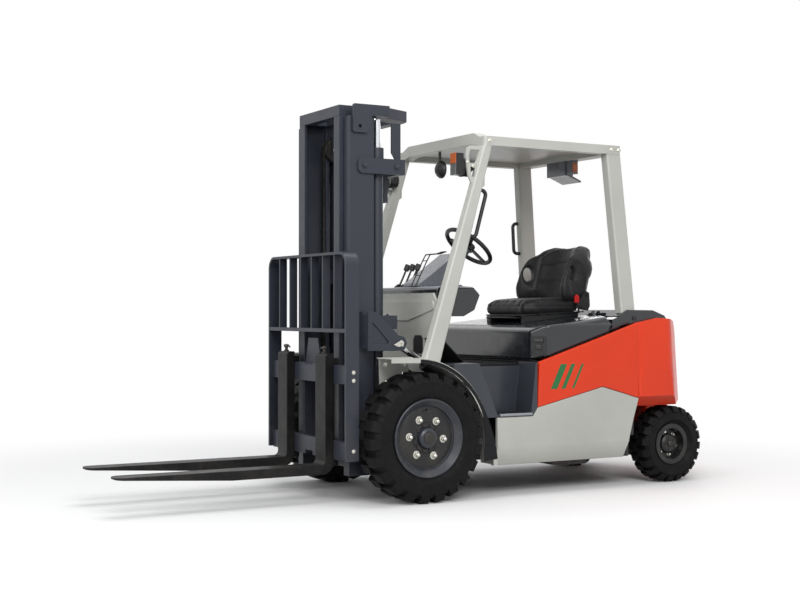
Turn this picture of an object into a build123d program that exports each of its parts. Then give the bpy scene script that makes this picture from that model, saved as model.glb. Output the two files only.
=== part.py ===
from build123d import *
import os
from math import asin, degrees, sqrt

# Driving sizes in millimetres.
# X runs forward from the front axle, Y to the truck's left, Z up from the ground.
wheelbase = 1755.0
rear_overhang = 375.0
body_half = 593.0
skirt_bottom = 172.0
floor_z = 730.0
guard_top = 2010.0
front_tyre_d = 700.0
front_tyre_w = 222.0
rear_tyre_d = 457.0
rear_tyre_w = 166.0
fork_length = 1150.0
fork_width = 125.0
fork_thick = 50.0
fork_gauge = 490.0
fork_heel_z = 153.0
mast_half = 319.0
mast_rear_x = 176.0
mast_depth = 154.0
mast_bottom = 135.0
inner_top = 2155.0
crown_t = 60.0
inner_step = 20.0
running_gap = 6.0
slack = 0.5
pin_slack = 1.0

# Wheels and axles.
front_r = front_tyre_d / 2
rear_r = rear_tyre_d / 2
wheel_y = body_half - 79
rear_y = body_half - 123
kingpin_y = rear_y - 135
axle_x = -wheelbase
rear_reach = wheelbase + rear_overhang
axle_tube_r = 80.0

# Mast and fork planes, from the rail section forward.
mast_front_x = mast_rear_x + mast_depth
inner_rear_x = mast_rear_x + inner_step
inner_front_x = mast_front_x + inner_step + running_gap
inner_mid_x = (inner_rear_x + inner_front_x) / 2
bar_t = 45.0
bar_rear_x = inner_front_x + 16
bar_front_x = bar_rear_x + bar_t
fork_face_x = bar_front_x + fork_thick
fork_tip_x = fork_face_x + fork_length
flange_w = 63.0
flange_t = 18.0
flange_in = mast_half - flange_w
inner_out = flange_in - running_gap
inner_in = inner_out - flange_w - 2
outer_top = inner_top - 65
crown_low = inner_top - crown_t

# The drawn origin lies under the middle of the overall length.
shift_x = (rear_reach - fork_tip_x) / 2

# Stations of the body, from the rear axle forward.
cw_front_x = axle_x + 300
tray_front_x = -755.0
tray_rear_x = axle_x + 325
hood_front_x = -742.0
hood_rear_x = axle_x + 419
hood_half = body_half - 18
panel_t = 25.0
panel_in = body_half - panel_t


def block(x0, x1, y0, y1, z0, z1):
    return Pos((x0 + x1) / 2, (y0 + y1) / 2, (z0 + z1) / 2) * Box(x1 - x0, y1 - y0, z1 - z0)


def outline(points):
    return make_face(Polyline(*points, close=True))


def soft_outline(points, radius):
    return make_face(FilletPolyline(*points, radius=radius, close=True))


def side_plate(face, y0, y1):
    plane = Plane(origin=(0, y1, 0), x_dir=(1, 0, 0), z_dir=(0, -1, 0))
    return extrude(plane * face, amount=y1 - y0)


def plan_plate(face, z0, z1):
    return extrude(Plane.XY.offset(z0) * face, amount=z1 - z0)


def front_plate(face, x0, x1):
    return extrude(Plane.YZ.offset(x0) * face, amount=x1 - x0)


def right_of(shape):
    return mirror(shape, about=Plane.XZ)


def pair(shape):
    return [shape, right_of(shape)]


def fused(shapes):
    body = shapes[0]
    for shape in shapes[1:]:
        body += shape
    return body


def rod_between(start, end, radius):
    line = Vector(*end) - Vector(*start)
    return extrude(Plane(origin=start, z_dir=line) * Circle(radius), amount=line.length)


def cross_bar(x, z, radius, y0, y1):
    return rod_between((x, y0, z), (x, y1, z), radius)


def upright(x, y, radius, z0, z1):
    return plan_plate(Pos(x, y) * Circle(radius), z0, z1)


def turned(points, x, y, z):
    return Pos(x, y, z) * revolve(outline(points), Axis.Y)


def bent_tube(points, bend, radius):
    path = FilletPolyline(*points, radius=bend)
    return sweep(Plane(origin=path @ 0, z_dir=path % 0) * Circle(radius), path=path)


def export(name, shapes):
    if not isinstance(shapes, (list, tuple)):
        shapes = [shapes]
    solids = []
    for shape in shapes:
        solids.extend(shape.solids())
    moved = [Pos(shift_x, 0, 0) * solid for solid in solids]
    body = moved[0] if len(moved) == 1 else Compound(children=moved)
    body.label = name
    export_step(body, "parts/" + name + ".step")


# Front fender: one sheet swept over the tyre, and the space under its outer skin.
fender_front_x = 225.0
fender_flat_x = 64.0
fender_z = front_tyre_d + 80
fender_t = 6.0
fender_out = body_half + 12
fender_in = fender_out - 165
fender_lip = 26.0
fender_crown_r = 456.0
fender_tail_r = 885.0

# Horns: the frame's front plates, which carry the drive axle and the tilt cylinders.
horn_in = mast_half + 21
horn_out = mast_half + 76


def fender_path(inset):
    start = Vector(fender_front_x, fender_z - inset)
    flat = Line(start, (fender_flat_x, fender_z - inset - 2))
    arc_a = JernArc(flat @ 1, flat % 1, fender_crown_r - inset, 58)
    arc_b = JernArc(arc_a @ 1, arc_a % 1, fender_tail_r - inset, 26)
    return flat, arc_a, arc_b


def fender_sheet(inset, depth, y0, y1):
    outer = fender_path(inset)
    inner = fender_path(inset + depth)
    ends = [Line(outer[0] @ 0, inner[0] @ 0), Line(outer[2] @ 1, inner[2] @ 1)]
    return side_plate(make_face([*outer, *inner, *ends]), y0, y1)


def under_fender(grow, y0, y1):
    outer = fender_path(-grow)
    low = (outer[2] @ 1).Y
    edges = [
        Line(outer[2] @ 1, (fender_front_x, low)),
        Line((fender_front_x, low), outer[0] @ 0),
    ]
    return side_plate(make_face([*outer, *edges]), y0, y1)


def fender():
    sheet = fender_sheet(0, fender_t, fender_in, fender_out)
    lip = fender_sheet(0, fender_lip, fender_out - fender_t, fender_out)
    shelf = block(5, fender_front_x - 35, horn_out, fender_in + 5, fender_z - 10, fender_z - 2)
    apron = side_plate(outline([
        (5, fender_z - 4), (fender_front_x - 35, fender_z - 4), (fender_front_x - 40, 600), (130, 560),
        (5, 660),
    ]), horn_out, horn_out + 3)
    return sheet + lip + shelf + apron


# Floor with a sloped toe board.
toe_low = (-360.0, floor_z)
toe_high = (-153.0, floor_z + 195)
floor_t = 12.0

# Tilt cylinders run from a pin on the frame's horn to a pin on the mast.
tilt_mast = (62.0, 853.0)
tilt_frame = (-520.0, 480.0)
tilt_y = mast_half + 51
tilt_pin_r = 18.0
wall_t = 20.0
tray_t = 18.0
fork_lug_gap = 22.0
fork_lug_t = 20.0


def frame():
    half = body_half - 73
    tray_top = skirt_bottom + tray_t
    body = block(tray_rear_x, tray_front_x, -half, half, skirt_bottom, tray_top)
    body += block(tray_rear_x, tray_rear_x + wall_t, -half, half, skirt_bottom, 560)
    body += block(tray_front_x, tray_front_x + wall_t, -half, half, skirt_bottom, 700)
    for x0 in (tray_rear_x, tray_front_x):
        body += block(x0, x0 + wall_t, -panel_in, panel_in, 300, 470)
    body += block(tray_rear_x - 25, tray_rear_x, -300, 300, 480, 560)
    keel = outline([
        (tray_front_x - 140, skirt_bottom), (tray_front_x - 190, skirt_bottom - 36),
        (tray_front_x - 390, skirt_bottom - 36), (tray_front_x - 440, skirt_bottom),
    ])
    body += side_plate(keel, -half + 60, half - 60)
    carrier = block(axle_x + 112, tray_rear_x, -75, 75, 150, 330)
    body += carrier - rod_between((axle_x + 100, 0, rear_r), (axle_x + 180, 0, rear_r), 35)
    body += block(-165, -140, -horn_in, horn_in, 300, 610)
    body += block(-165, -140, panel_t - horn_in, horn_in - panel_t, 600, 655)
    root_x = tray_front_x + wall_t / 2
    horn = outline([
        (root_x, tray_top), (root_x, 430), (-480, 430), (-440, 455), (-140, 640), (50, 735), (185, 735),
        (185, 560), (130, 440), (130, 255), (0, 215), (-300, tray_top),
    ])
    lug = outline([(root_x, 420), (root_x, 545), (-520, 520), (-484, 500), (-484, 440), (-500, 425)])
    wing = side_plate(horn, horn_in, horn_out)
    wing -= cross_bar(0, front_r, axle_tube_r, horn_in - 40, horn_out + 5)
    for y in (tilt_y - fork_lug_gap - fork_lug_t, tilt_y + fork_lug_gap):
        wing += side_plate(lug, y, y + fork_lug_t)
    reach = fork_lug_gap + fork_lug_t
    wing += cross_bar(tilt_frame[0], tilt_frame[1], tilt_pin_r, tilt_y - reach, tilt_y + reach)
    for shape in pair(wing):
        body += shape
    return body


# Body sides: a folded skirt and a panel above it share one seam.
seam_front = (-722.0, 486.0)
seam_peak = (-1185.0, 590.0)
seam_rear = (cw_front_x + 5, 516.0)
seam_gap = 3.0


def skirt():
    bend_z = skirt_bottom + 98
    section = outline([
        (body_half - 46, skirt_bottom), (body_half, bend_z), (body_half, 620), (panel_in, 620),
        (panel_in, bend_z + 6), (panel_in - 46, skirt_bottom),
    ])
    edge = outline([
        (-452, skirt_bottom), (axle_x + 386, skirt_bottom), (axle_x + 375, 285), (axle_x + 343, 400),
        seam_rear, seam_peak, seam_front, (seam_front[0] + 30, 440), (-452, 440),
    ])
    return front_plate(section, axle_x + 255, -400) & side_plate(edge, panel_in - 100, body_half + 100)


def side_panel():
    front_x = seam_front[0] - 4
    face = outline([
        (front_x - 10, floor_z + 12), (cw_front_x + 6, 962), (cw_front_x + 6, seam_rear[1] + seam_gap),
        (seam_peak[0], seam_peak[1] + seam_gap), (front_x, seam_front[1] + seam_gap), (front_x, 560),
    ])
    return side_plate(face, panel_in, body_half)


step_in = 418.0
step_z = 455.0
step_t = 14.0
step_out = body_half - 8


def step_well():
    low = step_z - step_t
    top = floor_z + 12
    well = block(-689, -455, step_in, step_out, low, step_z)
    well += block(-689, -466, step_out - 5, body_half, low, step_z)
    well += block(-716, -445, step_in, step_in + 10, low, floor_z - floor_t)
    rear = outline([
        (-689, low), (-720, seam_front[1] + 1), (-720, floor_z + 10), (-710, floor_z + 10), (-677, low),
    ])
    well += side_plate(rear, step_in, body_half)
    face = outline([(-130, top), (-338, top), (-462, low), (-440, 380)])
    cover = side_plate(face, step_out - panel_t, step_out)
    cover += block(-338, -130, step_in, step_out, top - floor_t, top)
    cover -= under_fender(slack, step_in - 20, fender_out + 15)
    cover &= block(-470, -175, step_in - 20, fender_out + 15, low, top)
    shield = outline([(-338, top), (-462, low), (-450, low), (-326, top)])
    return well + cover + side_plate(shield, step_in, step_out)


cowl_x = -140.0
cowl_t = 12.0
cowl_half = 445.0
cowl_top = 1130.0


def front_cowl():
    gap_out = cowl_half - 15
    gap_in = horn_in - panel_t
    face = outline([
        (-cowl_half, 745), (-cowl_half, cowl_top - 40), (30 - cowl_half, cowl_top),
        (cowl_half - 30, cowl_top), (cowl_half, cowl_top - 40), (cowl_half, 745), (gap_out, 745),
        (gap_out, 880), (gap_in, 880), (gap_in, 655), (-gap_in, 655), (-gap_in, 880), (-gap_out, 880),
        (-gap_out, 745),
    ])
    panel = front_plate(face, cowl_x - cowl_t, cowl_x)
    boss = soft_outline([
        (-gap_out, cowl_top - 45), (gap_out, cowl_top - 45), (gap_out, cowl_top - 90),
        (150, cowl_top - 155), (-150, cowl_top - 155), (-gap_out, cowl_top - 90),
    ], 18)
    panel += front_plate(boss, cowl_x, cowl_x + 8)
    for shape in pair(under_fender(0, fender_in - 40, fender_out + 15)):
        panel -= shape
    return panel


def floor_plate():
    face = outline([
        toe_high, toe_low, (hood_front_x + 4, floor_z), (hood_front_x + 4, floor_z - floor_t),
        (toe_low[0] - 5, floor_z - floor_t), (toe_high[0], toe_high[1] - floor_t - 5),
    ])
    return side_plate(face, -step_in, step_in)


# Counterweight: a cast block with tapered flanks, undercut sides and a keel for the rear axle pin.
cw_bottom = rear_tyre_d + 9
cw_top = 988.0
cw_flank = body_half + 12
cw_corner_x = axle_x + 37
tow_x = 68.0 - rear_reach
tow_r = 16.0

# Hinges at the rear of the hood: knuckles on the hood between knuckles on the rear cover.
hinge_at = (hood_rear_x - 5, 1010.0)
hinge_r = 10.0
hinge_pin_r = 5.0
hinge_y = 300.0
hinge_w = 50.0


def hinge_bar(radius, y0, y1):
    return cross_bar(hinge_at[0], hinge_at[1], radius, y0, y1)


def counterweight():
    tail_y = 165.0
    plan = soft_outline([
        (cw_front_x + 60, cw_flank), (cw_corner_x, cw_flank), (-rear_reach, tail_y), (-rear_reach, -tail_y),
        (cw_corner_x, -cw_flank), (cw_front_x + 60, -cw_flank),
    ], 110)
    cast = extrude(Plane.XY.offset(cw_bottom) * plan, amount=600, taper=3)
    far_x = -rear_reach - 70
    side = outline([
        (cw_front_x, cw_bottom), (cw_front_x, cw_top - 30), (cw_front_x - 165, cw_top),
        (-rear_reach + 150, cw_top - 23), (-rear_reach + 70, cw_top - 63), (far_x, 690),
        (far_x, cw_bottom),
    ])
    cast &= side_plate(side, -cw_flank - 100, cw_flank + 100)
    cut = outline([
        (body_half + 60, cw_bottom - 2), (body_half - 62, cw_bottom - 2), (body_half + 60, cw_bottom + 120),
    ])
    for shape in pair(front_plate(cut, far_x - 100, cw_front_x + 55)):
        cast -= shape
    cast &= block(far_x - 100, cw_front_x, -body_half, body_half, 0, cw_top + 200)
    keel = soft_outline([
        (axle_x - 125, 130), (-rear_reach + 45, 130), (-rear_reach + 45, -130), (axle_x - 125, -130),
    ], 30)
    cast += plan_plate(keel, 160, cw_bottom + 40)
    cast -= rod_between((axle_x - 145, 0, rear_r), (axle_x - 85, 0, rear_r), 35)
    cast -= block(far_x - 100, tow_x + 22, -70, 70, 330, 410)
    cast -= upright(tow_x, 0, tow_r, 300, 440)
    return cast


def tow_pin():
    return upright(tow_x, 0, tow_r - slack, 305, 436)


cover_half = 540.0


def rear_cover():
    front_x = hood_rear_x - 10
    face = outline([
        (front_x, 940), (front_x - 54, 948), (cw_front_x, cw_top - 30), (cw_front_x - 165, cw_top),
        (cw_front_x - 250, cw_top - 5), (cw_front_x - 235, cw_top + 14), (cw_front_x - 145, cw_top + 46),
        (front_x - 64, cw_top + 48), (front_x, cw_top + 12),
    ])
    cover = side_plate(face, -cover_half, cover_half)
    cheek = outline([(front_x - 5, 930), (front_x + 61, 912), (front_x + 50, 980), (front_x - 5, 998)])
    for shape in pair(side_plate(cheek, 450, cover_half)):
        cover += shape
    x, z = hinge_at
    root = outline([(x, z - hinge_r), (x - 30, z - 12), (x - 30, z + 8), (x, z + hinge_r)])
    for shape in pair(hinge_bar(hinge_r + 6, hinge_y - 5, hinge_y + hinge_w + 5)):
        cover -= shape
    for y in (hinge_y - 35, hinge_y + hinge_w + 5):
        for shape in pair(side_plate(root, y, y + 30) + hinge_bar(hinge_r, y, y + 30)):
            cover += shape
    for shape in pair(hinge_bar(hinge_pin_r, hinge_y - 35, hinge_y + hinge_w + 35)):
        cover += shape
    return cover


def battery_pack():
    half = body_half - 93
    return block(tray_rear_x + 30, tray_front_x - 10, -half, half, skirt_bottom + tray_t, floor_z - 15)


# Axles.
def drive_axle():
    body = cross_bar(0, front_r, axle_tube_r, -horn_out - 3, horn_out + 3)
    body += cross_bar(0, front_r, 62, 36 - wheel_y, wheel_y - 36)
    body += cross_bar(0, front_r, 105, -150, 150)
    body += block(-138, -60, -140, 140, 290, 430)
    return body


kingpin_r = 20.0
fork_low = 137.0
fork_high = 320.0
fork_plate_t = 30.0


def steer_axle():
    plate = outline([
        (axle_x - 78, 55 - kingpin_y), (axle_x - 78, kingpin_y - 55), (axle_x - 40, kingpin_y),
        (axle_x + 40, kingpin_y), (axle_x + 78, kingpin_y - 55), (axle_x + 78, 55 - kingpin_y),
        (axle_x + 40, -kingpin_y), (axle_x - 40, -kingpin_y),
    ])
    body = block(axle_x - 78, axle_x + 78, 80 - kingpin_y, kingpin_y - 80, fork_low, fork_high)
    for z in (fork_low, fork_high - fork_plate_t):
        body += plan_plate(plate, z, z + fork_plate_t)
        for y in (kingpin_y, -kingpin_y):
            body += upright(axle_x, y, 44, z, z + fork_plate_t)
    for y in (kingpin_y, -kingpin_y):
        body -= upright(axle_x, y, kingpin_r + slack, fork_low - 5, fork_high + 5)
    body += rod_between((axle_x - 140, 0, rear_r), (axle_x + 175, 0, rear_r), 34.5)
    return body


def knuckle():
    body = upright(axle_x, kingpin_y, 38, fork_low + 35, fork_high - 35)
    body += upright(axle_x, kingpin_y, kingpin_r, fork_low + 3, fork_high - 2)
    body += cross_bar(axle_x, rear_r, 42, kingpin_y, rear_y - 50)
    body += cross_bar(axle_x, rear_r, 28, kingpin_y, rear_y + 29)
    return body


# Wheels: each tyre is a turned carcass with two staggered rows of lugs.
front_lugs = 22
rear_lugs = 20


def lug_ring(radius, half, depth, width, count, phase):
    flat_r = sqrt(radius * radius - width * width / 4)
    face = outline([
        (4, flat_r), (half - 26, flat_r), (half - 9, flat_r - 15), (half, flat_r - 2.1 * depth),
        (half - 12, flat_r - 2.2 * depth), (4, flat_r - 1.3 * depth),
    ])
    lug = extrude(Plane(origin=(-width / 2, 0, 0), x_dir=(0, 1, 0), z_dir=(1, 0, 0)) * face, amount=width)
    return [Rot(0, phase + k * 360 / count, 0) * lug for k in range(count)]


front_bead_r = 190.0
front_bead_half = 84.0
rear_bead_r = 101.0
rear_bead_half = 52.0


def tyre(radius, width, bead, bead_half, lip, depth, lug_w, count):
    half = width / 2
    skin = radius - depth
    wall = bead + 0.375 * (radius - bead)
    points = [
        (bead, -bead_half), (bead + 22, -bead_half - lip), (bead + 31, -bead_half - 2 * lip),
        (wall, 2 - half), (skin - 24, 3 - half), (skin - 4, 22 - half), (skin, 40 - half),
    ]
    body = revolve(outline(points + [(r, -y) for r, y in reversed(points)]), Axis.Y)
    pitch = 360 / count
    down = 180 - degrees(asin(lug_w / 2 / radius))
    near = lug_ring(radius, half, depth, lug_w, count, down)
    far = [right_of(lug) for lug in lug_ring(radius, half, depth, lug_w, count, down + pitch / 2)]
    return body + near + far


def front_tyre():
    bead = front_bead_r + slack
    body = tyre(front_r, front_tyre_w, bead, front_bead_half, 6, 24, 58, front_lugs)
    return Pos(0, wheel_y, front_r) * body


def rear_tyre():
    bead = rear_bead_r + slack
    body = tyre(rear_r, rear_tyre_w, bead, rear_bead_half, 4, 17, 42, rear_lugs)
    return Pos(axle_x, rear_y, rear_r) * body


def front_rim():
    r = front_bead_r
    b = front_bead_half
    return turned([
        (0, -30), (95, -30), (95, 46), (r - 25, 46), (r - 13, 34), (r - 13, -100), (r + 22, -100),
        (r + 22, -b - 6), (r, -b), (r, b), (r + 22, b + 6), (r + 22, 100), (r + 14, 104), (r - 18, 74),
        (r - 22, 62), (80, 62), (80, 70), (58, 70), (54, 94), (42, 102), (0, 103),
    ], 0, wheel_y, front_r)


def rear_rim():
    r = rear_bead_r
    b = rear_bead_half
    return turned([
        (30, -45), (60, -45), (60, -4), (r - 17, -4), (r - 10, -14), (r - 10, -63), (r + 21, -63),
        (r + 21, -b - 4), (r, -b), (r, b), (r + 21, b + 4), (r + 21, 63), (r - 8, 63), (r - 11, 30),
        (r - 19, 10), (60, 10), (58, 36), (44, 46), (0, 46), (0, 34), (30, 34),
    ], axle_x, rear_y, rear_r)


# Overhead guard: straight tapered posts, side rails, a crowned header and a ribbed roof.
rail_h = 52.0
rail_low = guard_top - rail_h
rail_out = 490.0
rail_in = 432.0
header_x = -436.0
header_d = 70.0
beam_rear_x = axle_x + 353
beam_d = 92.0
post_foot_z = 690.0
front_foot = (-58.0, 494.0, 104.0, 62.0)
front_head = (-462.0, 461.0, 58.0, 54.0)
rear_foot_z = 950.0
rear_foot = (axle_x + 319, 492.0, 106.0, 68.0)
rear_head = (axle_x + 406, 456.0, 104.0, 64.0)


def post(foot, foot_z, head, head_z):
    faces = []
    for (x, y, size_x, size_y), z in ((foot, foot_z), (head, head_z)):
        faces.append(Pos(x, y, z) * RectangleRounded(size_x, size_y, 12))
    return loft(faces, ruled=True)


def front_post_x(z):
    share = (z - post_foot_z) / (rail_low - post_foot_z)
    return front_foot[0] + share * (front_head[0] - front_foot[0])


lamp_z = guard_top - 182
bracket_y = 462.0
bracket_t = 12.0


def lamp_bracket():
    x, z = front_post_x(lamp_z), lamp_z
    loop = soft_outline([
        (x + 40, z - 126), (x + 84, z - 50), (x + 100, z + 62), (x + 90, z + 110), (x + 66, z + 124),
        (x - 24, z + 126), (x - 24, z - 100),
    ], 14)
    upper = soft_outline([
        (x + 36, z + 26), (x + 76, z + 26), (x + 82, z + 66), (x + 72, z + 102), (x + 6, z + 104),
    ], 9)
    lower = soft_outline([(x + 44, z - 60), (x + 66, z - 44), (x + 72, z + 6), (x + 40, z + 6)], 8)
    plate = side_plate(loop, bracket_y, bracket_y + bracket_t)
    for hole in (upper, lower):
        plate -= side_plate(hole, bracket_y - 5, bracket_y + bracket_t + 5)
    return plate


def front_post():
    body = post(front_foot, post_foot_z, front_head, rail_low)
    return body - under_fender(0, fender_in - 40, fender_out + 15)


def rear_post():
    front_x = hood_rear_x - 10
    seat = outline([
        (front_x + 46, 900), (cw_front_x - 105, 900), (cw_front_x - 105, cw_top + 48),
        (front_x - 64, cw_top + 48), (front_x, cw_top + 12), (front_x + 46, cw_top + 12),
    ])
    return post(rear_foot, rear_foot_z, rear_head, rail_low) - side_plate(seat, rail_in - 30, cover_half + 60)


def guard_frame():
    rails = [
        block(beam_rear_x, header_x, rail_in, rail_out, rail_low, guard_top),
        block(beam_rear_x, header_x, -rail_out, -rail_in, rail_low, guard_top),
    ]
    half = rail_in + 5
    header = outline([
        (-half, rail_low), (-half, guard_top), (-half + 67, guard_top + 28), (half - 67, guard_top + 28),
        (half, guard_top), (half, rail_low), (half - 87, rail_low + 18), (87 - half, rail_low + 18),
    ])
    rails.append(front_plate(header, header_x - header_d, header_x))
    rails.append(block(beam_rear_x, beam_rear_x + beam_d, -half, half, rail_low, guard_top - 6))
    body = fused(rails)
    eased = body.edges().filter_by(Axis.Z).filter_by_position(Axis.Z, rail_low, guard_top + 30)
    corners = [edge for edge in eased if abs(edge.center().Y) > rail_out - 1]
    return fillet(corners, 18)


roof_ribs = 5
roof_pitch = 150.0


def guard_roof():
    x0 = beam_rear_x + beam_d
    x1 = header_x - header_d
    plate = block(x0, x1, -rail_in, rail_in, guard_top - 22, guard_top - 14)
    for k in range(roof_ribs):
        y = (k - (roof_ribs - 1) / 2) * roof_pitch
        z0, z1 = guard_top - 15, guard_top - 4
        rib = outline([(y - 36, z0), (y - 28, z1), (y + 28, z1), (y + 36, z0)])
        plate += front_plate(rib, x0 + 20, x1 - 20)
    for k in range(2):
        y = (k - 0.5) * 2 * roof_pitch
        for x in (x1 - 130, x1 - 330):
            plate -= plan_plate(Pos(x, y) * SlotOverall(80, 16), guard_top - 30, guard_top)
    return plate


tube_r = 11.0


def grab_handles():
    top, low = guard_top - 298, guard_top - 570
    x_top, x_low = front_post_x(top), front_post_x(low)
    front = bent_tube([
        (x_top - 25, 455, top), (x_top - 85, 455, top - 12), (x_low - 97, 455, low),
        (x_low - 42, 455, low + 12),
    ], 26, tube_r)
    x = rear_head[0]
    rear = bent_tube([
        (x + 9, -482, top - 112), (x + 59, -482, top - 112), (x + 49, -482, low - 35),
        (x - 3, -482, low - 35),
    ], 26, tube_r)
    return [front - front_post(), rear - right_of(rear_post())]


def front_lamps():
    x = front_post_x(lamp_z)
    y = bracket_y - 50
    lamp = rod_between((x + 50, y, lamp_z), (x + 92, y, lamp_z), 46)
    lamp += rod_between((x + 92, y, lamp_z), (x + 100, y, lamp_z), 40)
    lamp += block(x + 38, x + 62, y, bracket_y, lamp_z - 14, lamp_z + 14)
    signal = block(x + 107, x + 157, bracket_y - 60, bracket_y, lamp_z - 42, lamp_z + 80)
    signal += block(x + 80, x + 110, bracket_y - 22, bracket_y, lamp_z - 10, lamp_z + 50)
    return pair(lamp + signal)


def rear_lamp():
    x = beam_rear_x + 30
    box = block(x, x + 62, -130, 60, rail_low - 90, rail_low)
    box += block(x + 8, x + 54, 60, 120, rail_low - 84, rail_low)
    shelf = outline([
        (x + 40, rail_low - 90), (x - 60, rail_low - 128), (x - 64, rail_low - 118),
        (x + 10, rail_low - 88),
    ])
    return box + side_plate(shelf, -130, 60)


mirror_at = (-486.0, -60.0, 1872.0)
mirror_r = 52.0


def mirror_unit():
    x, y, z = mirror_at
    face = outline([
        (0, 38), (18, 35), (34, 26), (mirror_r - 6, 14), (mirror_r, 3), (mirror_r, -6), (0, -6),
    ])
    dome = Pos(x, y, z) * (Rot(0, 0, -90) * revolve(face, Axis.Y))
    return dome + upright(x + 10, y, 8, z, rail_low + 18)


# Driver's place.
dash_top = 1156.0
wheel_at = Vector(-640, 0, 1415)
column_at = Vector(-520, 0, 1270)
steer_r = 165.0
steer_rim_r = 13.0


def dashboard():
    back_x = cowl_x - cowl_t
    face = soft_outline([
        (back_x, 1000), (back_x, dash_top), (-400, dash_top), (-436, dash_top - 36), (-400, 1035),
        (-330, 1000),
    ], 12)
    return side_plate(face, 5 - cowl_half, cowl_half - 5)


def steering_column():
    shell = soft_outline([
        (-200, dash_top), (-330, 1245), (-505, 1372), (-560, 1345), (-430, dash_top),
    ], 20)
    body = side_plate(shell, -95, 95)
    head = wheel_at - (wheel_at - column_at).normalized() * 24
    return body + rod_between((column_at.X, 0, column_at.Z), (head.X, 0, head.Z), 26)


def steering_wheel():
    plane = Plane(origin=wheel_at, x_dir=(0, 1, 0), z_dir=wheel_at - column_at)
    ring_r = steer_r - steer_rim_r
    body = plane * Torus(ring_r, steer_rim_r)
    body += extrude(plane.offset(-20) * Circle(38), amount=34)
    for angle in (90, 210, 330):
        body += plane * (Rot(0, 0, angle) * (Pos(ring_r / 2, 0, 0) * Box(ring_r - 2, 26, 10)))
    return body + extrude(plane.offset(8) * (Pos(-ring_r, 0) * Circle(17)), amount=42)


def pedals():
    run = Vector(toe_high[0] - toe_low[0], 0, toe_high[1] - toe_low[1]).normalized()
    up = Vector(-run.Z, 0, run.X)
    seat = Vector(toe_low[0], 0, toe_low[1]) + run * 130
    shapes = []
    for y, width in ((-155, 70), (0, 120), (165, 70)):
        foot = seat + Vector(0, y, 0)
        plane = Plane(origin=foot + up * 44, x_dir=(0, 1, 0), z_dir=up)
        pad = extrude(plane * RectangleRounded(width, 112, 14), amount=9)
        stem = extrude(Plane(origin=foot, z_dir=up) * Circle(9), amount=44)
        shapes.append(pad + stem)
    return shapes


lever_pitch = 65.0


def control_levers():
    low = Vector(-343, 0, dash_top + 3)
    lean = Vector(-62, 0, 131).normalized()
    shapes = []
    for k in range(3):
        plane = Plane(origin=low - Vector(0, 200 + k * lever_pitch, 0), z_dir=lean)
        stem = extrude(plane * Circle(6), amount=140)
        shapes.append(stem + extrude(plane.offset(128) * Circle(17), amount=38))
    return shapes


hood_t = 14.0
hood_nose_z = 946.0
hood_back_z = 1004.0
hood_nose_x = hood_front_x - 48
hood_back_x = hood_rear_x + 24


def hood_volume(inset):
    side = outline([
        (hood_front_x - inset, 700), (hood_front_x - inset, 915 - inset),
        (hood_nose_x, hood_nose_z - inset), (hood_back_x, hood_back_z - inset),
        (hood_rear_x + inset, 985 - inset), (hood_rear_x + inset, 700),
    ])
    half = hood_half - inset
    front = outline([
        (-half, 600), (-half, 950 - inset), (35 - half, 975 - inset), (120 - half, 1030 - inset),
        (half - 120, 1030 - inset), (half - 35, 975 - inset), (half, 950 - inset), (half, 600),
    ])
    plan = outline([
        (hood_front_x - inset, 90 - half), (hood_front_x - inset, half - 90),
        (hood_nose_x - 22 - inset, half), (hood_rear_x + inset, half), (hood_rear_x + inset, -half),
        (hood_nose_x - 22 - inset, -half),
    ])
    volume = side_plate(side, -half, half) & front_plate(front, hood_rear_x - 100, hood_front_x + 100)
    return volume & plan_plate(plan, 600, 1100)


def hood():
    shell = hood_volume(0) - hood_volume(hood_t)
    low = outline([
        (hood_front_x + 142, 500), (hood_front_x + 142, 706), (hood_rear_x - 64, 953),
        (hood_rear_x - 164, 500),
    ])
    shell -= side_plate(low, -body_half - 100, body_half + 100)
    x0 = hood_rear_x + 62
    tail = soft_outline([
        (x0 + 60, 850), (x0 + 30, 905), (x0, 945), (x0 - 2, 1100), (x0 - 164, 1100), (x0 - 164, 850),
    ], 14)
    for shape in pair(side_plate(tail, 440, body_half + 100)):
        shell -= shape
    x, z = hinge_at
    leaf = outline([(x, z - hinge_r), (x + 42, z - 15), (x + 42, z - 4), (x, z + hinge_r)])
    knuckle = side_plate(leaf, hinge_y, hinge_y + hinge_w) + hinge_bar(hinge_r, hinge_y, hinge_y + hinge_w)
    for shape in pair(knuckle - hinge_bar(hinge_pin_r + pin_slack, hinge_y - 5, hinge_y + hinge_w + 5)):
        shell += shape
    return shell


def hood_top(x):
    return hood_nose_z + (hood_nose_x - x) / (hood_nose_x - hood_back_x) * (hood_back_z - hood_nose_z)


seat_front_x = -885.0
seat_rear_x = -1298.0
seat_half = 245.0


def seat_frame():
    x0, x1 = seat_rear_x - 2, seat_front_x - 20
    rail = outline([(x1, hood_top(x1)), (x0, hood_top(x0)), (x0, 1020), (x1, 1000)])
    bridge = outline([(x1, 1000), (x0, 1020), (x0 - 36, 1022), (x0 - 36, 1030), (x0, 1028), (x1, 1008)])
    body = side_plate(bridge, 30 - seat_half, seat_half - 30)
    for shape in pair(side_plate(rail, seat_half - 80, seat_half - 40)):
        body += shape
    return body


def seat_cushion():
    face = soft_outline([
        (seat_front_x, 1008), (seat_front_x, 1075), (seat_front_x - 215, 1092), (seat_rear_x + 8, 1090),
        (seat_rear_x, 1029),
    ], 18)
    plan = soft_outline([
        (seat_front_x + 1, 40 - seat_half), (seat_front_x + 1, seat_half - 40),
        (seat_front_x - 90, seat_half), (seat_rear_x - 1, seat_half), (seat_rear_x - 1, -seat_half),
        (seat_front_x - 90, -seat_half),
    ], 25)
    return side_plate(face, -seat_half, seat_half) & plan_plate(plan, 990, 1110)


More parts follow.
